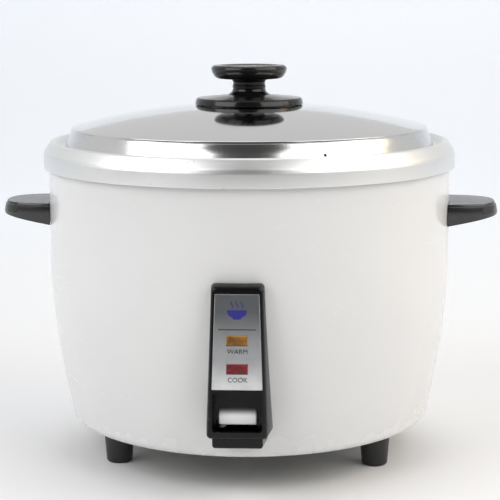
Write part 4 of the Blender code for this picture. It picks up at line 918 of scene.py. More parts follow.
def slab(name: str, outline: Sequence[Vector], lay: Callable[[Vector], Vector], depth: Vector) -> Piece:
    """A flat outline given a depth.

    Args:
        name: The piece's name.
        outline: The outline's points in its own plane.
        lay: Puts a flat point in space.
        depth: How far it is extruded.

    Returns:
        The piece.
    """
    points = [lay(point) for point in outline]
    draw_line([*points, points[0]])
    bpy.ops.mesh.select_all(action="SELECT")
    bpy.ops.mesh.edge_face_add()
    bpy.ops.mesh.extrude_region_move(TRANSFORM_OT_translate={"value": depth})
    tidy_mesh()
    bpy.ops.object.mode_set(mode="OBJECT")
    return settle(name_new(name))


def block(name: str, low: Vector, high: Vector, bevel: float = 0.0, segments: int = 3) -> Piece:
    """A rounded block between two corners.

    Args:
        name: The piece's name.
        low: Its lowest corner.
        high: Its highest corner.
        bevel: The radius of its edges.
        segments: Facets across a rounded edge.

    Returns:
        The piece.
    """
    clear_selection()
    bpy.ops.mesh.primitive_cube_add(size=1.0, location=(low + high) / 2, scale=high - low)
    piece = name_new(name)
    settle(piece)
    if bevel:
        with editing(piece, "EDGE"):
            bpy.ops.mesh.select_all(action="SELECT")
            bpy.ops.mesh.bevel(offset=bevel, segments=segments, affect="EDGES", clamp_overlap=True)
            tidy_mesh()
        settle(piece)
    return piece


def rod(name: str, radius: float, start: Vector, end: Vector, steps: int = 32) -> Piece:
    """A round rod between two points, used as a tool or joined to a casting.

    Args:
        name: Its name.
        radius: Its radius.
        start: The middle of one end.
        end: The middle of the other end.
        steps: Facets round it.

    Returns:
        The rod.
    """
    clear_selection()
    along = end - start
    turn = Vector((0, 0, 1)).rotation_difference(along).to_euler()
    bpy.ops.mesh.primitive_cylinder_add(vertices=steps, radius=radius, depth=along.length,
                                        location=(start + end) / 2, rotation=turn)
    return settle(name_new(name))


def combine(piece: Piece, tool: Piece, cut: Cut = Cut.AWAY) -> None:
    """Cuts a tool from a piece or joins it on.

    Args:
        piece: The piece that changes.
        tool: The other shape, which is used up.
        cut: What is done with it.
    """
    modifier = piece.modifiers.new("cut", "BOOLEAN")
    modifier.operation = cut.value
    modifier.solver = "EXACT"
    modifier.object = tool
    clear_selection()
    piece.select_set(True)
    bpy.context.view_layer.objects.active = piece
    bpy.ops.object.modifier_apply(modifier=modifier.name)
    bpy.data.objects.remove(tool, do_unlink=True)
    settle(piece)


def round_off(piece: Piece, radius: float, segments: int, wanted: Callable[[object], bool]) -> None:
    """Rounds the chosen edges of a piece.

    Args:
        piece: The piece.
        radius: The radius.
        segments: Facets across the rounding.
        wanted: Says whether an edge is rounded.
    """
    with editing(piece, "EDGE"):
        if pick(piece, "edges", wanted):
            bpy.ops.mesh.bevel(offset=radius, segments=segments, affect="EDGES", clamp_overlap=True)
        tidy_mesh()
    settle(piece)


def fit(piece: Piece, body: Body, slot: Slot, finish: Finish, *nodes: str) -> Piece:
    """Gives a finished piece its material and its body, and hides the CAD nodes that it stands for.

    Args:
        piece: The piece.
        body: The body that it moves with.
        slot: The record's material slot; not used.
        finish: Its finish.
        *nodes: The CAD nodes that it replaces.

    Returns:
        The piece.
    """
    piece.data.materials.clear()
    piece.data.materials.append(PALETTE.material(finish))
    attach(piece, body.value)
    if nodes:
        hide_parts(*nodes)
    log.info("%s: %d faces, on %s, %s", piece.name, len(piece.data.polygons), body.value, finish.name)
    return piece


# ---------------------------------------------------------------- drum, feet and base
@dataclass
class Drum:
    """The painted drum: straight above, drawn in below, with a rolled lower edge."""

    draw: float = 0.0142
    draw_height: float = 0.100
    draw_power: float = 1.5
    corner: float = 0.006
    lip: float = 0.0075
    wall: float = 0.0008
    screw_hole: float = 0.0021
    screw_spread: float = 0.017
    screw_height: float = 0.172

    def __post_init__(self) -> None:
        """Takes the radius and the two heights from the CAD shell."""
        low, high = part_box("outer_shell")
        self.bottom, self.top, self.radius = low.z, high.z, high.x

    def radius_at(self, height: float) -> float:
        """The outside radius at a height above the floor."""
        share = min(max((height - self.bottom) / self.draw_height, 0.0), 1.0)
        return self.radius - self.draw * (1 - share) ** self.draw_power

    def wall_points(self, inset: float) -> list[Vector]:
        """The wall's surface from top to bottom.

        Args:
            inset: How far inside the outer surface, which may be negative.

        Returns:
            Radius and height of each point.
        """
        middle = self.radius_at(self.bottom + self.corner) - self.corner
        count = 22
        points = [Vector((self.radius - inset, self.top - (0.0004 if inset > 0 else 0.0)))]
        for number in range(count + 1):
            height = self.bottom + self.corner + (self.draw_height - self.corner) * (1 - number / count)
            points.append(Vector((self.radius_at(height) - inset, height)))
        for number in range(1, 11):
            turn = math.pi / 2 * number / 10
            arm = self.corner - inset
            points.append(Vector((middle + arm * math.cos(turn), self.bottom + self.corner - arm * math.sin(turn))))
        return points

    def space(self) -> Piece:
        """A tool that fills the drum, for cutting back what is screwed to its outside."""
        points = self.wall_points(-GAP)
        outline = [Vector((0, self.top)), *points, Vector((0, self.bottom - GAP))]
        return lathe("drum_space", outline)

    def build(self) -> None:
        """Makes the drum with the openings for the lever, the lamps, the inlet and the handle screws."""
        outer, inner = self.wall_points(0.0), self.wall_points(self.wall)
        lip_radius = self.radius_at(self.bottom + self.corner) - self.corner - self.lip
        rolled = [Vector((lip_radius, self.bottom)), Vector((lip_radius - 0.0004, self.bottom + self.wall / 2)),
                  Vector((lip_radius, self.bottom + self.wall))]
        self.shell = lathe("drum", [*outer, *rolled, *reversed(inner)], closed=True)
        front, back = -self.radius, self.radius
        combine(self.shell, block("lever_opening", Vector((-0.0134, front - 0.02, 0.0423)),
                                  Vector((0.0134, front + 0.03, 0.0643))))
        combine(self.shell, block("lamp_opening", Vector((-0.010, front - 0.02, 0.0835)),
                                  Vector((0.010, front + 0.03, 0.1175))))
        combine(self.shell, block("inlet_opening", Vector((-0.012, back - 0.03, 0.0535)),
                                  Vector((0.012, back + 0.02, 0.0695))))
        for side in (-1, 1):
            for spread in (-self.screw_spread, self.screw_spread):
                hole = rod("screw_hole", self.screw_hole, Vector((side * 0.125, spread, self.screw_height)),
                           Vector((side * 0.155, spread, self.screw_height)), 16)
                combine(self.shell, hole)

    def dress(self) -> None:
        """Paints it."""
        fit(self.shell, Body.COOKER, Slot.WHITE_PAINT, PAINT, "outer_shell")


@dataclass
class Underside:
    """The pressed base plate and the three feet."""

    vents: int = 12
    vent_length: float = 0.018
    vent_width: float = 0.004
    vent_ring: float = 0.056
    hole: float = 0.0021
    foot_top: float = 0.0108
    foot_bottom: float = 0.0088
    foot_bore: float = 0.0050
    foot_round: float = 0.0022
    screw_depth: float = 0.012
    feet: list[Piece] = field(default_factory=list)

    def build(self) -> None:
        """Makes the plate with its pressed rib, vents and holes, and the feet."""
        low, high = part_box("base_plate")
        base, top, edge = low.z, high.z, high.x
        rib = 0.0012
        corners = [Corner(0, base), Corner(0.072, base), Corner(0.0735, base + rib, 0.001),
                   Corner(0.0765, base + rib, 0.001), Corner(0.078, base), Corner(edge, base, 0.0004),
                   Corner(edge, top, 0.0004), Corner(0.0785, top), Corner(0.077, top + rib, 0.001),
                   Corner(0.073, top + rib, 0.001), Corner(0.0715, top), Corner(0, top)]
        self.plate = lathe("bottom_plate", rounded(corners))
        for index in range(self.vents):
            turn = 2 * math.pi * (index + 0.5) / self.vents
            half_long, half_wide = self.vent_length / 2, self.vent_width / 2
            outline = rounded([Corner(-half_long, -half_wide, 0.0019), Corner(half_long, -half_wide, 0.0019),
                               Corner(half_long, half_wide, 0.0019), Corner(-half_long, half_wide, 0.0019)],
                              closed=True, step=math.radians(30))
            spin = Matrix.Rotation(turn, 3, "Z")
            vent = slab("vent", outline, lambda point, spin=spin: spin @ Vector(
                (self.vent_ring + point.x, point.y, base - 0.004)), Vector((0, 0, 0.010)))
            combine(self.plate, vent)
        for number in (1, 2, 3):
            foot_low, foot_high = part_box(f"foot_{number}")
            middle = (foot_low + foot_high) / 2
            for name in (f"foot_{number}", f"liner_post_{number}"):
                part_low, part_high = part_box(name)
                at = (part_low + part_high) / 2
                combine(self.plate, rod("hole", self.hole, Vector((at.x, at.y, base - 0.004)),
                                        Vector((at.x, at.y, top + 0.006)), 16))
            self.feet.append(self.foot(number, Vector((middle.x, middle.y, 0)), foot_high.z))
        for number in (1, 2):
            part_low, part_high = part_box(f"bracket_screw_{number}")
            at = (part_low + part_high) / 2
            combine(self.plate, rod("hole", self.hole, Vector((at.x, at.y, base - 0.004)),
                                    Vector((at.x, at.y, top + 0.006)), 16))

    def foot(self, number: int, middle: Vector, top: float) -> Piece:
        """One foot: a tapered plug with a rounded tread and a deep bore for its screw."""
        bore, neck = self.foot_bore, 0.0023
        corners = [Corner(neck, top), Corner(self.foot_top, top, 0.0004),
                   Corner(self.foot_top - 0.0002, top - 0.003), Corner(self.foot_bottom, 0.0, self.foot_round),
                   Corner(bore + 0.0004, 0.0, 0.0003), Corner(bore, 0.0005, 0.0002),
                   Corner(bore, self.screw_depth, 0.0004), Corner(neck, self.screw_depth)]
        return lathe(f"tapered_foot_{number}", rounded(corners, closed=True, step=math.radians(15)), 64, True, middle)

    def dress(self) -> None:
        """Gives the plate its plated steel and the feet their dull black."""
        fit(self.plate, Body.COOKER, Slot.BLACK_STEEL, BASE_METAL, "base_plate")
        for number, foot in enumerate(self.feet, 1):
            fit(foot, Body.COOKER, Slot.BLACK_PLASTIC, FOOT_PLASTIC, f"foot_{number}")


# ---------------------------------------------------------------- well and hot plate
@dataclass
class Well:
    """The liner that the pan hangs in, the cast hot plate and the sprung sensor button."""

    liner_wall: float = 0.0007
    liner_draw: float = 0.0062
    liner_draw_height: float = 0.060
    liner_corner: float = 0.012
    liner_hole: float = 0.042
    hole: float = 0.0021
    cap_air: float = 0.0020
    leg: float = 0.0048
    leg_depth: float = 0.0117
    terminal: float = 0.0024

    def build(self) -> None:
        """Makes the three pieces."""
        self.liner = self.build_liner()
        self.plate = self.build_plate()
        self.button = self.build_button()

    def post_places(self) -> list[Vector]:
        """Where the three posts stand."""
        places = []
        for number in (1, 2, 3):
            low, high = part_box(f"liner_post_{number}")
            places.append(Vector(((low.x + high.x) / 2, (low.y + high.y) / 2, 0)))
        return places

    def build_liner(self) -> Piece:
        """The pressed cup with its flange."""
        low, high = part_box("inner_liner")
        floor, flange, edge = low.z, high.z, high.x
        radius, wall = edge - 0.0051, self.liner_wall
        low_radius = radius - self.liner_draw * (1 - self.liner_corner / self.liner_draw_height)
        bend = floor + self.liner_draw_height
        outer = [Corner(edge, flange - wall), Corner(radius, flange - wall, 0.0014), Corner(radius, bend, 0.02),
                 Corner(low_radius - 0.0012, floor, self.liner_corner), Corner(self.liner_hole, floor)]
        inner = [Corner(self.liner_hole, floor + wall), Corner(low_radius - 0.0012 - wall, floor + wall,
                                                               self.liner_corner - wall),
                 Corner(radius - wall, bend, 0.02), Corner(radius - wall, flange, 0.0021), Corner(edge, flange)]
        liner = lathe("well_liner", rounded([*outer, *inner], closed=True, step=math.radians(6)), closed=True)
        for place in self.post_places():
            combine(liner, rod("hole", self.hole, Vector((place.x, place.y, floor - 0.004)),
                               Vector((place.x, place.y, floor + 0.004)), 16))
        return liner

    def build_plate(self) -> Piece:
        """The casting: a faced top, the hump over the element, three legs and two terminals."""
        cap_low, cap_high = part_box("sensor_cap")
        top = cap_high.z
        low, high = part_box("heating_plate")
        radius, hole = high.x, cap_high.x + self.cap_air
        under = top - 0.009
        hump_in, hump_out = radius * 0.62, radius * 0.78
        corners = [Corner(hole, top, 0.0006), Corner(radius, top, 0.0016), Corner(radius, under + 0.002, 0.001),
                   Corner(hump_out, under + 0.002, 0.001), Corner(hump_out - 0.002, under, 0.001),
                   Corner(hump_in + 0.002, under, 0.001), Corner(hump_in, under + 0.002, 0.001),
                   Corner(hole + 0.016, under + 0.002, 0.0006), Corner(hole + 0.015, under, 0.0006),
                   Corner(hole, under, 0.0004)]
        plate = lathe("hot_plate", rounded(corners, closed=True, step=math.radians(15)), closed=True)
        for place in self.post_places():
            place.z = under + 0.004
            combine(plate, rod("leg", self.leg, place, place - Vector((0, 0, self.leg_depth + 0.004))), Cut.ONTO)
        for side in (-1, 1):
            pin_top = Vector((side * 0.0119, 0.034, under + 0.004))
            combine(plate, rod("terminal", self.terminal, pin_top, pin_top - Vector((0, 0, 0.016)), 20), Cut.ONTO)
        for place in self.post_places():
            combine(plate, rod("bore", self.hole, Vector((place.x, place.y, under - self.leg_depth - 0.002)),
                               Vector((place.x, place.y, under - 0.0015)), 16))
        for number in (1, 2):
            part_low, part_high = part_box(f"holder_screw_{number}")
            at = (part_low + part_high) / 2
            combine(plate, rod("bore", 0.0014, Vector((at.x, at.y, under - 0.002)),
                               Vector((at.x, at.y, under + 0.0045)), 12))
        return plate

    def build_button(self) -> Piece:
        """The sensor's spun cap."""
        low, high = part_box("sensor_cap")
        radius, top, wall = high.x, high.z, 0.0012
        corners = [Corner(0, top), Corner(radius - 0.004, top), Corner(radius, top - 0.0002, 0.0014),
                   Corner(radius, low.z, 0.0003), Corner(radius - wall, low.z, 0.0003),
                   Corner(radius - wall, top - wall, 0.0004), Corner(0, top - wall)]
        return lathe("sensor_button", rounded(corners), SMALL_STEPS)

    def dress(self) -> None:
        """Gives each piece its metal."""
        fit(self.liner, Body.COOKER, Slot.ZINC_STEEL, LINER_METAL, "inner_liner")
        fit(self.plate, Body.COOKER, Slot.CAST_ALUMINIUM, PLATE_METAL, "heating_plate")
        fit(self.button, Body.SENSOR, Slot.CAST_ALUMINIUM, CAP_METAL, "sensor_cap")


@dataclass
class RicePan:
    """The spun pan with its lid ledge and the wide rim that hoods the drum."""

    wall: float = 0.0010
    inner_radius: float = 0.1275
    draw: float = 0.003
    corner: float = 0.0145

    def build(self) -> None:
        """Makes the pan in one spin: up the inside, over the rim, and back down the outside."""
        low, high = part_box("inner_pan")
        floor, top, rim = low.z, high.z, high.x
        edge = top - 0.0185
        ledge = top - 0.0043
        inside = self.inner_radius
        low_wall = inside - self.draw
        corners = [
            Corner(0, floor + self.wall), Corner(low_wall, floor + self.wall, self.corner),
            Corner(inside, ledge - 0.0004, 0.0014), Corner(rim - 0.0114, ledge, 0.0008),
            Corner(rim - 0.0101, top - 0.0024, 0.0010), Corner(rim - 0.0080, top, 0.0017),
            Corner(rim - 0.0050, top - 0.0003, 0.0022), Corner(rim - 0.0008, top - 0.0066, 0.0028),
            Corner(rim - 0.0001, top - 0.0094, 0.0030), Corner(rim, edge, 0.0004),
            Corner(rim - self.wall, edge, 0.0004), Corner(rim - self.wall, top - 0.0098, 0.0025),
            Corner(rim - 0.0017, top - 0.0076, 0.0020), Corner(rim - 0.0058, top - 0.0014, 0.0014),
            Corner(rim - 0.0078, top - self.wall, 0.0010), Corner(rim - 0.0092, top - 0.0028, 0.0009),
            Corner(rim - 0.0104, ledge - self.wall, 0.0016), Corner(inside + self.wall, ledge - 0.0012, 0.0022),
            Corner(low_wall + self.wall, floor, self.corner + self.wall), Corner(0, floor)]
        self.pan = lathe("spun_pan", rounded(corners, step=math.radians(9)))

    def dress(self) -> None:
        """Gives it satin aluminium."""
        fit(self.pan, Body.PAN, Slot.RIM_ALUMINIUM, PAN_METAL, "inner_pan")


# ---------------------------------------------------------------- lid
@dataclass
class Lid:
    """The domed lid with its steam hole, the knob guard and the knob."""

    dome: float = 0.490
    crease: float = 0.1250
    skirt: float = 0.0132
    wall: float = 0.0007
    hole: float = 0.0021
    steam_hole: float = 0.0011
    steam_turn: float = math.radians(-65)
    guard: float = 0.0382
    neck: float = 0.0118

    def __post_init__(self) -> None:
        """Takes the lid's edge and top from the CAD."""
        low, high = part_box("lid_shell")
        self.edge, self.foot = high.x, low.z
        self.crease_up = self.foot + self.skirt
        self.top = self.crease_up + self.dome - math.sqrt(self.dome**2 - self.crease**2)

    def dome_up(self, radius: float) -> float:
        """Height of the dome's outside at a radius."""
        return self.top - self.dome + math.sqrt(self.dome**2 - radius**2)

    def build(self) -> None:
        """Makes the three pieces."""
        self.shell = self.build_shell()
        self.guard_piece = self.build_guard()
        self.knob = self.build_knob()

    def build_shell(self) -> Piece:
        """The pressed dome, its crease and the sloping skirt."""
        count = 26
        reach = self.crease - 0.0012
        outside = []
        for number in range(count + 1):
            radius = self.hole + (reach - self.hole) * number / count
            outside.append(Corner(radius, self.dome_up(radius)))
        inside = [Corner(corner.across, corner.up - self.wall) for corner in outside]
        crease, foot, edge, wall = self.crease, self.foot, self.edge, self.wall
        drop = self.crease_up
        outside += [Corner(crease + 0.0002, drop - 0.0001, 0.0004), Corner(crease + 0.0003, drop - 0.0013, 0.0002),
                    Corner(crease + 0.0007, drop - 0.0018, 0.0002), Corner(crease + 0.0018, foot + 0.0072, 0.02),
                    Corner(edge - 0.0004, foot + 0.0014, 0.0020), Corner(edge, foot + 0.0004, 0.0003),
                    Corner(edge - 0.0002, foot, 0.0002)]
        back = [Corner(edge - wall, foot, 0.0002), Corner(edge - 0.0004 - wall, foot + 0.0014, 0.0020),
                Corner(crease + 0.0018 - wall, foot + 0.0072, 0.02),
                Corner(crease + 0.0003 - wall, drop - 0.0019, 0.0006),
                Corner(crease - wall, drop - 0.0009, 0.0010), *reversed(inside)]
        shell = lathe("lid_dome", rounded([*outside, *back], closed=True), closed=True)
        out = Vector((math.cos(self.steam_turn), math.sin(self.steam_turn), 0))
        middle = out * (edge - 0.0012) + Vector((0, 0, foot + 0.0039))
        combine(shell, rod("steam_hole", self.steam_hole, middle - out * 0.01, middle + out * 0.01, 24))
        return shell

    def build_guard(self) -> Piece:
        """The disc that keeps the fingers off the hot dome."""
        low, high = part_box("knob_guard")
        seat, top = low.z, high.z
        rim, neck, wall = seat + 0.0045, self.neck, 0.0018
        edge = self.guard
        hub = self.top + GAP
        corners = [Corner(self.hole, top), Corner(neck - 0.0002, top, 0.0005), Corner(neck, rim + 0.0046, 0.0022),
                   Corner(neck + 0.0030, rim + 0.0022, 0.0030), Corner(edge - 0.0016, rim + 0.0001, 0.0006),
                   Corner(edge - 0.0007, rim - 0.0010, 0.0006), Corner(edge, seat + 0.0004, 0.0006),
                   Corner(edge - 0.0006, seat, 0.0004), Corner(edge - wall, seat, 0.0003),
                   Corner(edge - 0.0016 - wall, rim - wall, 0.0010), Corner(neck + 0.0030, rim + 0.0022 - wall, 0.003),
                   Corner(neck - 0.0013, rim + 0.0020, 0.0010), Corner(neck - 0.0018, hub, 0.0003),
                   Corner(self.hole, hub)]
        return lathe("finger_guard", rounded(corners, closed=True), SMALL_STEPS + 32, True)

    def build_knob(self) -> Piece:
        """The knob: a shallow dished top on a bowl, over a waisted stem."""
        low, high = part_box("lid_knob")
        foot, top, radius = low.z, high.z, high.x
        disc, stem = foot + 0.0066, self.neck
        bore = foot + 0.009
        corners = [Corner(0, top - 0.0010), Corner(radius * 0.70, top - 0.0010, 0.003),
                   Corner(radius * 0.80, top - 0.0001, 0.0015), Corner(radius - 0.0020, top, 0.0008),
                   Corner(radius - 0.0004, top - 0.0012, 0.0010), Corner(radius, top - 0.0024, 0.0008),
                   Corner(radius - 0.0006, top - 0.0050, 0.0020), Corner(radius - 0.0032, disc + 0.0002, 0.0042),
                   Corner(radius - 0.0090, disc, 0.0030), Corner(stem + 0.0016, disc - 0.0002, 0.0012),
                   Corner(stem - 0.0004, disc - 0.0018, 0.0016), Corner(stem - 0.0005, foot + 0.0026, 0.0010),
                   Corner(stem - 0.0001, foot + 0.0019, 0.0003), Corner(stem - 0.0001, foot, 0.0003),
                   Corner(self.hole, foot), Corner(self.hole, bore), Corner(0, bore)]
        return lathe("lid_grip", rounded(corners), SMALL_STEPS + 32)

    def dress(self) -> None:
        """Polished steel below, glossy black above."""
        fit(self.shell, Body.LID, Slot.STAINLESS, LID_METAL, "lid_shell")
        fit(self.guard_piece, Body.LID, Slot.BLACK_PLASTIC, GRIP_PLASTIC, "knob_guard")
        fit(self.knob, Body.LID, Slot.BLACK_PLASTIC, GRIP_PLASTIC, "lid_knob")


# ---------------------------------------------------------------- side handles
@dataclass
class SideHandles:
    """The two moulded handles: a flat top, flared sides and a hollow for the fingers."""

    drum: Drum
    power: float = 2.6
    half_width: float = 0.030
    wall: float = 0.0028
    root_wall: float = 0.0105
    rise: float = 0.0062  # how much higher the underside is at the tip
    rings: tuple[Point, ...] = ((0.0004, 0.0003), (0.0012, 0.0002), (0.0005, 0.0008), (0.0050, 0.0010),
                                (0.0006, -0.0002), (0.0090, -0.0004))  # drop and flare of each ring
    pieces: list[Piece] = field(default_factory=list)

    def wing(self, inset: float, root: float, tip: float) -> list[Vector]:
        """The outline of a handle seen from above, drawn towards +X.

        Args:
            inset: How far inside the handle's edge it runs.
            root: Where its straight sides start.
            tip: How far it reaches.

        Returns:
            Its points.
        """
        half = self.half_width - inset
        points = [Vector((root, half)), Vector((root, -half))]
        count = 44
        start = self.drum.radius - 0.006
        for number in range(count + 1):
            turn = math.pi * (number / count - 0.5)
            cosine, sine = math.cos(turn), math.sin(turn)
            across = max(cosine, 0.0) ** (2 / self.power) * (tip - inset - start)
            points.append(Vector((start + across, math.copysign(abs(sine) ** (2 / self.power), sine) * half)))
        return points

    def solid(self) -> Piece:
        """The handle towards +X before it is hollowed: its top is extruded down and flared out ring by ring."""
        low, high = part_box("right_handle")
        start, crown = self.drum.radius - 0.012, high.z
        widest = sum(flare for _, flare in self.rings if flare > 0)
        points = [Vector((point.x, point.y, crown)) for point in self.wing(widest, start, high.x)]
        draw_line([*points, points[0]])
        bpy.ops.mesh.select_all(action="SELECT")
        bpy.ops.mesh.edge_face_add()
        reach = high.x - widest - start
        half = self.half_width - widest
        for drop, flare in self.rings:
            crown -= drop
            bpy.ops.mesh.extrude_region_move(TRANSFORM_OT_translate={"value": (0, 0, -drop)})
            bpy.ops.transform.resize(value=((reach + flare) / reach, (half + flare) / half, 1),
                                     center_override=(start, 0, crown))
            reach, half = reach + flare, half + flare
        tidy_mesh()
        bpy.ops.object.mode_set(mode="OBJECT")
        handle = settle(name_new("handle_grip_right"))
        combine(handle, self.wedge())
        return handle

    def wedge(self) -> Piece:
        """A tool that cuts the underside to its slope."""
        low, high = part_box("right_handle")
        near, far, drop = self.drum.radius - 0.02, high.x + 0.01, 0.03
        steep = self.rise / (high.x - self.drum.radius)
        line = [Vector((place, low.z + (place - self.drum.radius) * steep)) for place in (near, far)]
        outline = [*line, Vector((far, low.z - drop)), Vector((near, low.z - drop))]
        return slab("wedge", outline, lambda point: Vector((point.x, -0.05, point.y)), Vector((0, 0.1, 0)))

    def build(self) -> None:
        """Makes the right handle, hollows and drills it, and turns a copy of it for the left."""
        right = self.solid()
        low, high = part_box("right_handle")
        start = self.drum.radius + self.root_wall
        hollow = [point for point in self.wing(self.wall + 0.0012, start, high.x) if point.x > start + WELD]
        tool = slab("hollow", hollow, lambda point: Vector((point.x, point.y, low.z - 0.01)),
                    Vector((0, 0, high.z - self.wall - low.z + 0.01)))
        combine(right, tool)
        for spread in (-self.drum.screw_spread, self.drum.screw_spread):
            at = self.drum.screw_height
            bore = rod("bore", self.drum.screw_hole, Vector((self.drum.radius - 0.02, spread, at)),
                       Vector((self.drum.radius + 0.008, spread, at)), 16)
            combine(right, bore)
        combine(right, self.drum.space())
        round_off(right, 0.0006, 2, lambda edge: edge.calc_face_angle(0.0) > math.radians(50)
                  and middle_of(edge).z < high.z - 0.004 and middle_of(edge).x > self.drum.radius + 0.003)
        clear_selection()
        right.select_set(True)
        bpy.context.view_layer.objects.active = right
        bpy.ops.object.duplicate(linked=False)
        left = name_new("handle_grip_left")
        bpy.ops.transform.rotate(value=math.pi, orient_axis="Z", center_override=(0, 0, 0))
        self.pieces = [right, settle(left)]

    def dress(self) -> None:
        """Black plastic."""
        for piece, node in zip(self.pieces, ("right_handle", "left_handle")):
            fit(piece, Body.COOKER, Slot.BLACK_PLASTIC, HANDLE_PLASTIC, node)


# ---------------------------------------------------------------- switch housing
@dataclass
class SwitchHousing:
    """The moulded housing in front: tapered, tilted back, with the face plate, lenses, legends and lever window."""

    drum: Drum
    low: float = 0.0472
    high: float = 0.1432
    face: float = -0.150
    lean: float = 0.008
    half_top: float = 0.0165
    half_grow: float = 0.0028
    draft: float = math.radians(5)
    chin: tuple[float, float, float, float] = (0.0400, 0.0545, -0.1535, 0.0160)
    plate_low: float = 0.0783
    plate_high: float = 0.1385
    plate_half: Point = (0.0161, 0.0140)
    plate_in: float = 0.0007
    plate_thick: float = 0.0006
    window: tuple[float, float, float] = (0.0517, 0.0770, 0.0158)
    window_back: float = -0.146
    wall: float = 0.0022
    rule_up: float = 0.1163
    letter_height: float = 0.0030
    sign_up: float = 0.1285

    def __post_init__(self) -> None:
        """Works out how far the face tilts."""
        self.tilt = math.atan2(self.lean, self.high - self.low)

    def on_face(self, across: float, up: float, depth: float = 0.0) -> Vector:
        """A point on the tilted face.

        Args:
            across: Its distance to the right of the middle.
            up: Its height above the floor.
            depth: How far behind the face it lies.

        Returns:
            The point.
        """
        front = self.face - self.lean * (self.high - up) / (self.high - self.low)
        return Vector((across, front + depth * math.cos(self.tilt), up - depth * math.sin(self.tilt)))

    def half(self, up: float) -> float:
        """Half the face's width at a height."""
        return self.half_top + self.half_grow * (self.high - up) / (self.high - self.low)

    def trapezium(self, low: float, high: float, halves: Point, radius: float, inset: float = 0.0) -> list[Vector]:
        """A rounded outline on the face, wider below.

        Args:
            low: Its lower edge.
            high: Its upper edge.
            halves: Half its width below and above.
            radius: Its corner radius.
            inset: How far inside that outline it runs.

        Returns:
            Its points.
        """
        below, above = halves[0] - inset, halves[1] - inset
        low, high = low + inset, high - inset
        corners = [Corner(-below, low, radius), Corner(below, low, radius), Corner(above, high, radius),
                   Corner(-above, high, radius)]
        return rounded(corners, closed=True, step=math.radians(15))

    def body_of(self, name: str, outline: list[Vector], depth: float, bevels: tuple[tuple[float, float], ...],
                flat: float | None = None) -> Piece:
        """A solid behind an outline: its front is rounded by small steps and its sides widen to the back.

        Args:
            name: The piece's name.
            outline: The front's outline.
            depth: How deep it is.
            bevels: Depth and widening of each step of the front edge.
            flat: The front's place along Y where it doesn't lie on the tilted face.

        Returns:
            The solid.
        """
        points = [self.on_face(point.x, point.y) if flat is None else Vector((point.x, flat, point.y))
                  for point in outline]
        draw_line([*points, points[0]])
        bpy.ops.mesh.select_all(action="SELECT")
        bpy.ops.mesh.edge_face_add()
        half = max(point.x for point in points)
        tall = (max(point.z for point in points) - min(point.z for point in points)) / 2
        middle = sum(points, Vector()) / len(points)
        middle.z = (max(point.z for point in points) + min(point.z for point in points)) / 2
        for back, widen in (*bevels, (depth, depth * math.tan(self.draft))):
            bpy.ops.mesh.extrude_region_move(TRANSFORM_OT_translate={"value": (0, back, 0)})
            middle.y += back
            bpy.ops.transform.resize(value=((half + widen) / half, 1, (tall + widen) / tall), center_override=middle)
            half, tall = half + widen, tall + widen
        tidy_mesh()
        bpy.ops.object.mode_set(mode="OBJECT")
        return settle(name_new(name))

    def build(self) -> None:
        """Makes the housing and everything set in its face."""
        self.shell = self.build_shell()
        self.plate = self.build_plate()
        self.lenses = [self.build_lens("amber_lens"), self.build_lens("red_lens")]
        self.legends = [self.build_legend("WARM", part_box("amber_lens")), self.build_legend("COOK",
                                                                                           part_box("red_lens"))]
        self.rule = self.build_rule()
        self.sign = self.build_sign()

    def build_shell(self) -> Piece:
        """The moulding: body and chin joined, then the seat, the windows, the well and the drum cut away."""
        halves = (self.half(self.low), self.half(self.high))
        edge = ((0.0003, 0.0008), (0.0005, 0.0006), (0.0012, 0.0006))
        inset = sum(widen for _, widen in edge)
        shell = self.body_of("switch_bezel", self.trapezium(self.low, self.high, halves, 0.0026, inset), 0.030, edge)
        low, high, front, half = self.chin
        chin = self.body_of("chin", self.trapezium(low, high, (half, half), 0.0016, 0.0014), 0.036,
                            ((0.0003, 0.0006), (0.0009, 0.0008)), front)
        combine(shell, chin, Cut.ONTO)
        seat_halves = (self.plate_half[0] + GAP, self.plate_half[1] + GAP)
        combine(shell, self.pocket(self.trapezium(self.plate_low - GAP, self.plate_high + GAP, seat_halves, 0.0009),
                                   0.0016))
        low, high, half = self.window
        outline = self.trapezium(low, high, (half, half - 0.0003), 0.0022)
        reach = self.window_back - self.face + self.lean
        combine(shell, self.pocket(outline, reach))
        combine(shell, block("well", Vector((-0.0138, -0.1526, 0.0447)),
                             Vector((0.0138, -self.drum.radius + 0.02, 0.0570))))
        for name in ("amber_lens", "red_lens"):
            low_corner, high_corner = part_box(name)
            grow = Vector((GAP, 0.02, GAP))
            combine(shell, block("lens_window", low_corner - grow, high_corner + grow))
        cavity = self.trapezium(0.0790, self.high - 0.0040, (self.half(0.08) - self.wall, self.half_top - self.wall),
                                0.001)
        points = [self.on_face(point.x, point.y, 0.0040) for point in cavity]
        draw_line([*points, points[0]])
        bpy.ops.mesh.select_all(action="SELECT")
        bpy.ops.mesh.edge_face_add()
        bpy.ops.mesh.extrude_region_move(TRANSFORM_OT_translate={"value": (0, 0.03, 0)})
        tidy_mesh()
        bpy.ops.object.mode_set(mode="OBJECT")
        combine(shell, settle(name_new("cavity")))
        combine(shell, self.drum.space())
        return shell

    def pocket(self, outline: list[Vector], depth: float) -> Piece:
        """A tool that cuts straight into the face.

        Args:
            outline: The pocket's outline.
            depth: How deep it goes.

        Returns:
            The tool.
        """
        inward = self.on_face(0, 0, 1) - self.on_face(0, 0, 0)
        return slab("pocket", outline, lambda point: self.on_face(point.x, point.y, -0.010), inward * (0.010 + depth))

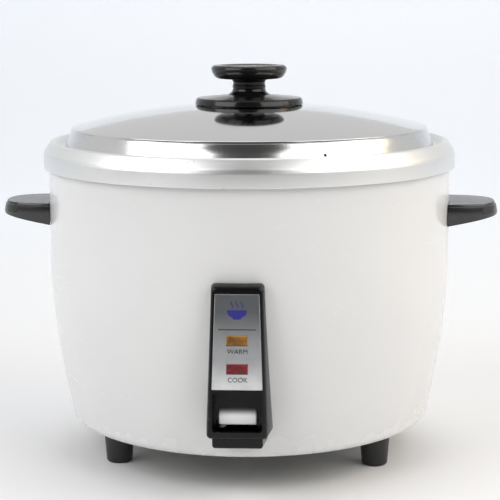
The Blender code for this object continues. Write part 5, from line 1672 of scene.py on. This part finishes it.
    def build_plate(self) -> Piece:
        """The label plate: a thin sheet with a turned-down edge and openings for the lenses."""
        inward = self.on_face(0, 0, 1) - self.on_face(0, 0, 0)
        outline = self.trapezium(self.plate_low, self.plate_high, self.plate_half, 0.0006)
        plate = slab("label_plate", outline, lambda point: self.on_face(point.x, point.y, self.plate_in),
                     inward * self.plate_thick)
        front = self.on_face(0, 0, self.plate_in).y - self.on_face(0, 0).y
        round_off(plate, 0.00028, 2, lambda edge: edge.calc_face_angle(0.0) > math.radians(50) and all(
            (vertex.co - self.on_face(vertex.co.x, vertex.co.z)).y < front + 0.0001 for vertex in edge.verts))
        for name in ("amber_lens", "red_lens"):
            low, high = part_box(name)
            grow = Vector((0.0001, 0.02, 0.0001))
            combine(plate, block("lens_window", low - grow, high + grow))
        return plate

    def build_lens(self, node: str) -> Piece:
        """One lens: a rounded block, tilted with the face."""
        low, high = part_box(node)
        middle = (low + high) / 2
        height = (high.z - low.z - 0.0034 * math.sin(self.tilt)) / math.cos(self.tilt)
        half = Vector(((high.x - low.x) / 2, 0.0017, height / 2))
        lens = block(f"{node}_cover", -half, half, 0.0005, 3)
        clear_selection()
        lens.select_set(True)
        bpy.context.view_layer.objects.active = lens
        bpy.ops.transform.rotate(value=self.tilt, orient_axis="X", center_override=(0, 0, 0))
        bpy.ops.transform.translate(value=middle)
        return settle(lens)

    def print_on(self, name: str, points: Sequence[Vector]) -> Piece:
        """A thin raised print of an outline on the plate.

        Args:
            name: The piece's name.
            points: The outline: across, and up the floor's axis.

        Returns:
            The print.
        """
        inward = self.on_face(0, 0, 1) - self.on_face(0, 0, 0)
        thick = 0.00008
        return slab(name, points, lambda point: self.on_face(point.x, point.y, self.plate_in - thick),
                    inward * (thick - 0.00001))

    def build_legend(self, word: str, lens: tuple[Vector, Vector]) -> Piece:
        """A word printed under its lens."""
        clear_selection()
        bpy.ops.object.text_add(location=(0, 0, 0))
        piece = name_new(f"legend_{word.lower()}")
        piece.data.body = word
        piece.data.align_x = "CENTER"
        piece.data.size = self.letter_height / 0.70
        piece.data.extrude = 0.00004
        piece.data.resolution_u = 6
        bpy.ops.object.convert(target="MESH")
        piece = name_new(f"legend_{word.lower()}")
        bpy.ops.transform.resize(value=(0.98, 1, 1), center_override=(0, 0, 0))
        bpy.ops.transform.rotate(value=-(math.pi / 2 + self.tilt), orient_axis="X", center_override=(0, 0, 0))
        up = lens[0].z - 0.0019 - self.letter_height
        place = self.on_face(0.0003, up, self.plate_in - 0.00005)
        bpy.ops.transform.translate(value=place)
        settle(piece)
        with editing(piece):
            tidy_mesh()
        return settle(piece)

    def build_rule(self) -> Piece:
        """The line under the sign."""
        half, thick = 0.0118, 0.00030
        corners = [Vector((-half, self.rule_up - thick)), Vector((half, self.rule_up - thick)),
                   Vector((half, self.rule_up + thick)), Vector((-half, self.rule_up + thick))]
        return self.print_on("legend_rule", corners)

    def build_sign(self) -> Piece:
        """A generic sign: a bowl with three wisps of steam."""
        up, bowl = self.sign_up, 0.0062
        outline = [Corner(-bowl, up, 0.0003), Corner(-bowl * 0.94, up - 0.0030, 0.0030),
                   Corner(-bowl * 0.40, up - 0.0050, 0.0006), Corner(-bowl * 0.40, up - 0.0058, 0.0002),
                   Corner(bowl * 0.40, up - 0.0058, 0.0002), Corner(bowl * 0.40, up - 0.0050, 0.0006),
                   Corner(bowl * 0.94, up - 0.0030, 0.0030), Corner(bowl, up, 0.0003)]
        sign = self.print_on("pictogram", rounded(outline, closed=True))
        for place in (-1, 0, 1):
            middle, thick = place * 0.0032, 0.00036
            foot, head = up + 0.0011, up + 0.0058
            right, left = [], []
            count = 16
            for number in range(count + 1):
                share = number / count
                sway = 0.0006 * math.sin(2 * math.pi * share)
                width = thick * math.sin(math.pi * (0.15 + 0.70 * share))
                height = foot + (head - foot) * share
                right.append(Vector((middle + sway + width, height)))
                left.append(Vector((middle + sway - width, height)))
            wisp = self.print_on("wisp", [*right, *reversed(left)])
            clear_selection()
            wisp.select_set(True)
            sign.select_set(True)
            bpy.context.view_layer.objects.active = sign
            bpy.ops.object.join()
        return settle(sign)

    def dress(self) -> None:
        """Gives each piece its finish."""
        fit(self.shell, Body.COOKER, Slot.BLACK_PLASTIC, BEZEL_PLASTIC, "switch_housing")
        fit(self.plate, Body.COOKER, Slot.FACE_METAL, LABEL_METAL, "face_plate")
        # per lens: its colour, the dark colour of its cloud and painted shade, and the pale colour of its painted
        # highlight
        looks = ((self.lenses[0], Slot.AMBER_LENS, "amber_lens", (0.34, 0.155, 0.018), (0.09, 0.035, 0.005),
                  (0.72, 0.50, 0.25)),
                 (self.lenses[1], Slot.RED_LENS, "red_lens", (0.20, 0.003, 0.010), (0.09, 0.002, 0.005),
                  (0.55, 0.28, 0.27)))
        for piece, slot, node, colour, deep, edge in looks:
            low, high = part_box(node)
            fit(piece, Body.COOKER, slot, LampLens(node, colour, 0.12, edge, deep, low, high), node)
        for legend in (*self.legends, self.rule):
            fit(legend, Body.COOKER, Slot.FACE_METAL, LETTER_INK)
        fit(self.sign, Body.COOKER, Slot.FACE_METAL, BLUE_INK)


@dataclass
class CookKey:
    """The white key on the end of the cook lever: bowed in front, tapering a little at the top."""

    bow: float = 0.0011
    bevel: float = 0.0008

    def build(self) -> None:
        """Makes it from its side outline, widened into a block and rounded."""
        low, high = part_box("cook_lever_paddle")
        count = 14
        back, reach, tall = high.y, high.y - low.y, high.z - low.z
        side = [Vector((back, low.z)), Vector((back, high.z))]
        for number in range(count + 1):
            turn = math.pi / 2 * (1 - number / count)
            side.append(Vector((back - reach * math.cos(turn) ** 0.7, low.z + tall * (0.45 + 0.55 * math.sin(turn)))))
        side.append(Vector((low.y + 0.0004, low.z)))
        self.key = slab("cook_key", side[1:] + side[:1], lambda point: Vector((low.x, point.x, point.y)),
                        Vector((high.x - low.x, 0, 0)))
        round_off(self.key, self.bevel, 3, lambda edge: edge.calc_face_angle(0.0) > math.radians(40))

    def dress(self) -> None:
        """White plastic."""
        fit(self.key, Body.LEVER, Slot.PALE_PLASTIC, KEY_PLASTIC, "cook_lever_paddle")


@dataclass
class Inlet:
    """The appliance inlet at the back: a moulded shroud and the insert with its socket."""

    drum: Drum
    front: float = 0.158
    low: float = 0.0445
    high: float = 0.0785
    half: float = 0.0215
    mouth: Point = (0.0148, 0.0108)
    socket: tuple[float, float, float] = (0.0120, 0.0080, 0.0130)

    def box_outline(self, half: float, low: float, high: float, radius: float) -> list[Vector]:
        """A rounded rectangle seen from behind."""
        corners = [Corner(-half, low, radius), Corner(half, low, radius), Corner(half, high, radius),
                   Corner(-half, high, radius)]
        return rounded(corners, closed=True, step=math.radians(15))

    def build(self) -> None:
        """Makes the shroud and the insert."""
        edge = ((0.0003, 0.0008), (0.0005, 0.0006), (0.0012, 0.0006))
        inset = sum(widen for _, widen in edge)
        outline = self.box_outline(self.half - inset, self.low + inset, self.high - inset, 0.0030)
        points = [Vector((point.x, self.front, point.y)) for point in outline]
        draw_line([*points, points[0]])
        bpy.ops.mesh.select_all(action="SELECT")
        bpy.ops.mesh.edge_face_add()
        across, tall = self.half - inset, (self.high - self.low) / 2 - inset
        middle = Vector((0, self.front, (self.low + self.high) / 2))
        for back, widen in (*edge, (0.026, 0.026 * math.tan(math.radians(5)))):
            bpy.ops.mesh.extrude_region_move(TRANSFORM_OT_translate={"value": (0, -back, 0)})
            middle.y -= back
            bpy.ops.transform.resize(value=((across + widen) / across, 1, (tall + widen) / tall),
                                     center_override=middle)
            across, tall = across + widen, tall + widen
        tidy_mesh()
        bpy.ops.object.mode_set(mode="OBJECT")
        self.shroud = settle(name_new("inlet_shroud"))
        mid = (self.low + self.high) / 2
        across, tall = self.mouth
        mouth = slab("mouth", self.box_outline(across, mid - tall, mid + tall, 0.0016),
                     lambda point: Vector((point.x, self.front + 0.005, point.y)), Vector((0, -0.040, 0)))
        combine(self.shroud, mouth)
        combine(self.shroud, self.drum.space())
        low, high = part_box("inlet_socket")
        self.insert = block("inlet_insert", low, high, 0.0008, 2)
        across, tall, deep = self.socket
        mid = (low.z + high.z) / 2
        cavity = slab("cavity", self.box_outline(across, mid - tall, mid + tall, 0.0020),
                      lambda point: Vector((point.x, high.y + 0.005, point.y)), Vector((0, -deep - 0.005, 0)))
        combine(self.insert, cavity)
        for number in (1, 2):
            pin_low, pin_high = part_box(f"inlet_pin_{number}")
            grow = Vector((GAP, 0, GAP))
            combine(self.insert, block("slot", pin_low - grow - Vector((0, 0.01, 0)), pin_high + grow))

    def dress(self) -> None:
        """Black plastic for both."""
        fit(self.shroud, Body.COOKER, Slot.BLACK_PLASTIC, BEZEL_PLASTIC, "inlet_housing")
        fit(self.insert, Body.COOKER, Slot.BLACK_PLASTIC, FOOT_PLASTIC, "inlet_socket")


@dataclass
class Mechanism:
    """The screws, wires, lamps and switch parts that keep their CAD shapes."""

    def dress(self) -> None:
        """Gives every CAD node still showing the finish of its own slot."""
        slots = {piece.value: piece for piece in Slot}
        shown = [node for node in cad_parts.values() if not node.hide_render]
        for node in shown:
            for place in node.material_slots:
                name = place.material.name.split(".")[0] if place.material else ""
                key = next((slot for text, slot in slots.items() if text == name), None)
                if key is None or key not in INNER_FINISHES:
                    log.warning("%s has an unknown slot %s", node.name, name)
                    continue
                place.material = PALETTE.material(INNER_FINISHES[key])
            log.info("%s keeps its CAD shape", node.name)


# ---------------------------------------------------------------- studio
@dataclass
class Studio:
    """A pale floor curving up into the backdrop, two soft boxes and the camera."""

    floor: Colour = (0.86, 0.86, 0.865)
    sweep_back: float = 1.6
    sweep_round: float = 0.45
    sweep_top: float = 0.62
    glow: Colour = (0.26, 0.29, 0.33)
    place: Colour = (0.0569, -1.0669, 0.3187)
    heading: float = math.radians(3.04)
    pitch: float = math.radians(9.42)
    roll: float = math.radians(0.20)
    lens: float = 108.58
    strength: float = 0.84
    front_light: float = 0.16  # how bright the surroundings are in front, low down and high up

    def build(self) -> None:
        """Makes the sweep, the lamps, the surrounding light and the camera."""
        self.build_sweep()
        self.build_lamps()
        self.build_world()
        self.build_camera()

    def build_sweep(self) -> None:
        """The floor and backdrop as one curved sheet."""
        back, bend = self.sweep_back, self.sweep_round
        corners = [Corner(-3.0, 0), Corner(back, 0, bend), Corner(back + 0.05, self.sweep_top)]
        line = rounded(corners, step=math.radians(4))
        draw_line([Vector((-4.0, point.x, point.y - 0.0001)) for point in line])
        bpy.ops.mesh.select_all(action="SELECT")
        bpy.ops.mesh.extrude_region_move(TRANSFORM_OT_translate={"value": (8.0, 0, 0)})
        tidy_mesh()
        bpy.ops.object.mode_set(mode="OBJECT")
        sweep = settle(name_new("sweep"))
        graph = Graph("sweep_paper", specular_ior_level=0.2)
        tone = graph.noise(graph.position(), 1.5, 2.0)
        colour = graph.mix(tone * 0.2, self.floor, tuple(c * 0.97 for c in self.floor))
        far = graph.split(graph.position())[1].fade(-0.3, back)
        graph.shader.inputs["Emission Strength"].default_value = 1.0
        lit = graph.mix(far, (0.0, 0.0, 0.0), self.glow)
        sweep.data.materials.append(graph.finish(colour, 0.8, emission_color=lit))

    def build_lamps(self) -> None:
        """Two soft boxes beside the camera and one above."""
        boxes = (("box_left", -52, 34, 1.5, (1.24, 1.0), 13.5, (1.0, 0.995, 0.985)),
                 ("box_right", 57, 34, 1.5, (1.40, 1.0), 13.5, (1.0, 0.985, 0.95)),
                 ("box_top", 160, 68, 1.7, (1.6, 1.2), 5.0, (1.0, 1.0, 1.0)),
                 ("strip_warm", 91, 30, 1.4, (0.22, 0.7), 2.2, (1.0, 0.72, 0.36)))
        target = Vector((0, 0, 0.13))
        for name, turn, raise_by, far, size, power, tint in boxes:
            turn, raise_by = math.radians(turn), math.radians(raise_by)
            away = Vector((math.sin(turn) * math.cos(raise_by), -math.cos(turn) * math.cos(raise_by),
                           math.sin(raise_by)))
            clear_selection()
            bpy.ops.object.light_add(type="AREA", location=target + away * far,
                                     rotation=away.to_track_quat("Z", "Y").to_euler())
            lamp = name_new(name)
            lamp.data.shape = "RECTANGLE"
            lamp.data.size, lamp.data.size_y = size
            lamp.data.energy = power * self.strength
            lamp.data.color = tint

    def build_world(self) -> None:
        """Even light from all round, darker in front."""
        world = bpy.data.worlds.new("studio")
        bpy.context.scene.world = world
        world.use_nodes = True
        tree = world.node_tree
        tree.nodes["Background"].inputs["Strength"].default_value = 0.80
        place = tree.nodes.new("ShaderNodeTexCoord")
        parts = tree.nodes.new("ShaderNodeSeparateXYZ")
        ramp = tree.nodes.new("ShaderNodeMapRange")
        ramp.interpolation_type = "SMOOTHSTEP"
        for key, value in {1: -0.80, 2: 0.15, 3: 0.07, 4: 0.90}.items():
            ramp.inputs[key].default_value = value
        tree.links.new(place.outputs["Generated"], parts.inputs[0])
        tree.links.new(parts.outputs["Y"], ramp.inputs[0])
        shade = ramp.outputs[0]
        for low, high in ((0.26, 0.10), (0.74, 0.92)):
            lift = tree.nodes.new("ShaderNodeMapRange")
            lift.interpolation_type = "SMOOTHSTEP"
            for key, value in {1: low, 2: high, 3: 0.0, 4: self.front_light}.items():
                lift.inputs[key].default_value = value
            most = tree.nodes.new("ShaderNodeMath")
            most.operation = "MAXIMUM"
            tree.links.new(parts.outputs["Z"], lift.inputs[0])
            tree.links.new(lift.outputs[0], most.inputs[0])
            tree.links.new(shade, most.inputs[1])
            shade = most.outputs[0]
        tree.links.new(shade, tree.nodes["Background"].inputs["Color"])

    def build_camera(self) -> None:
        """The camera."""
        clear_selection()
        bpy.ops.object.camera_add(location=self.place)
        camera = name_new("camera")
        look = Vector((-math.sin(self.heading) * math.cos(self.pitch), math.cos(self.heading) * math.cos(self.pitch),
                       -math.sin(self.pitch)))
        level = look.cross(Vector((0, 0, 1))).normalized()
        rise = level.cross(look)
        right = level * math.cos(self.roll) - rise * math.sin(self.roll)
        up = rise * math.cos(self.roll) + level * math.sin(self.roll)
        camera.rotation_euler = Matrix((right, up, -look)).transposed().to_euler()
        camera.data.lens = self.lens
        camera.data.sensor_width = 36.0
        camera.data.clip_start = 0.01
        camera.data.clip_end = 20.0
        bpy.context.scene.camera = camera
        bpy.context.scene.view_settings.view_transform = "Standard"


def main() -> None:
    """Builds and finishes every piece, then the studio."""
    drum = Drum()
    pieces = [drum, Underside(), Well(), RicePan(), Lid(), SideHandles(drum), SwitchHousing(drum), CookKey(),
              Inlet(drum)]
    for piece in pieces:
        piece.build()
    for piece in pieces:
        piece.dress()
    Mechanism().dress()
    Studio().build()
    clear_selection()


if __name__ == "__main__":
    logging.basicConfig(level=logging.INFO, format="%(levelname)s %(message)s")
    main()
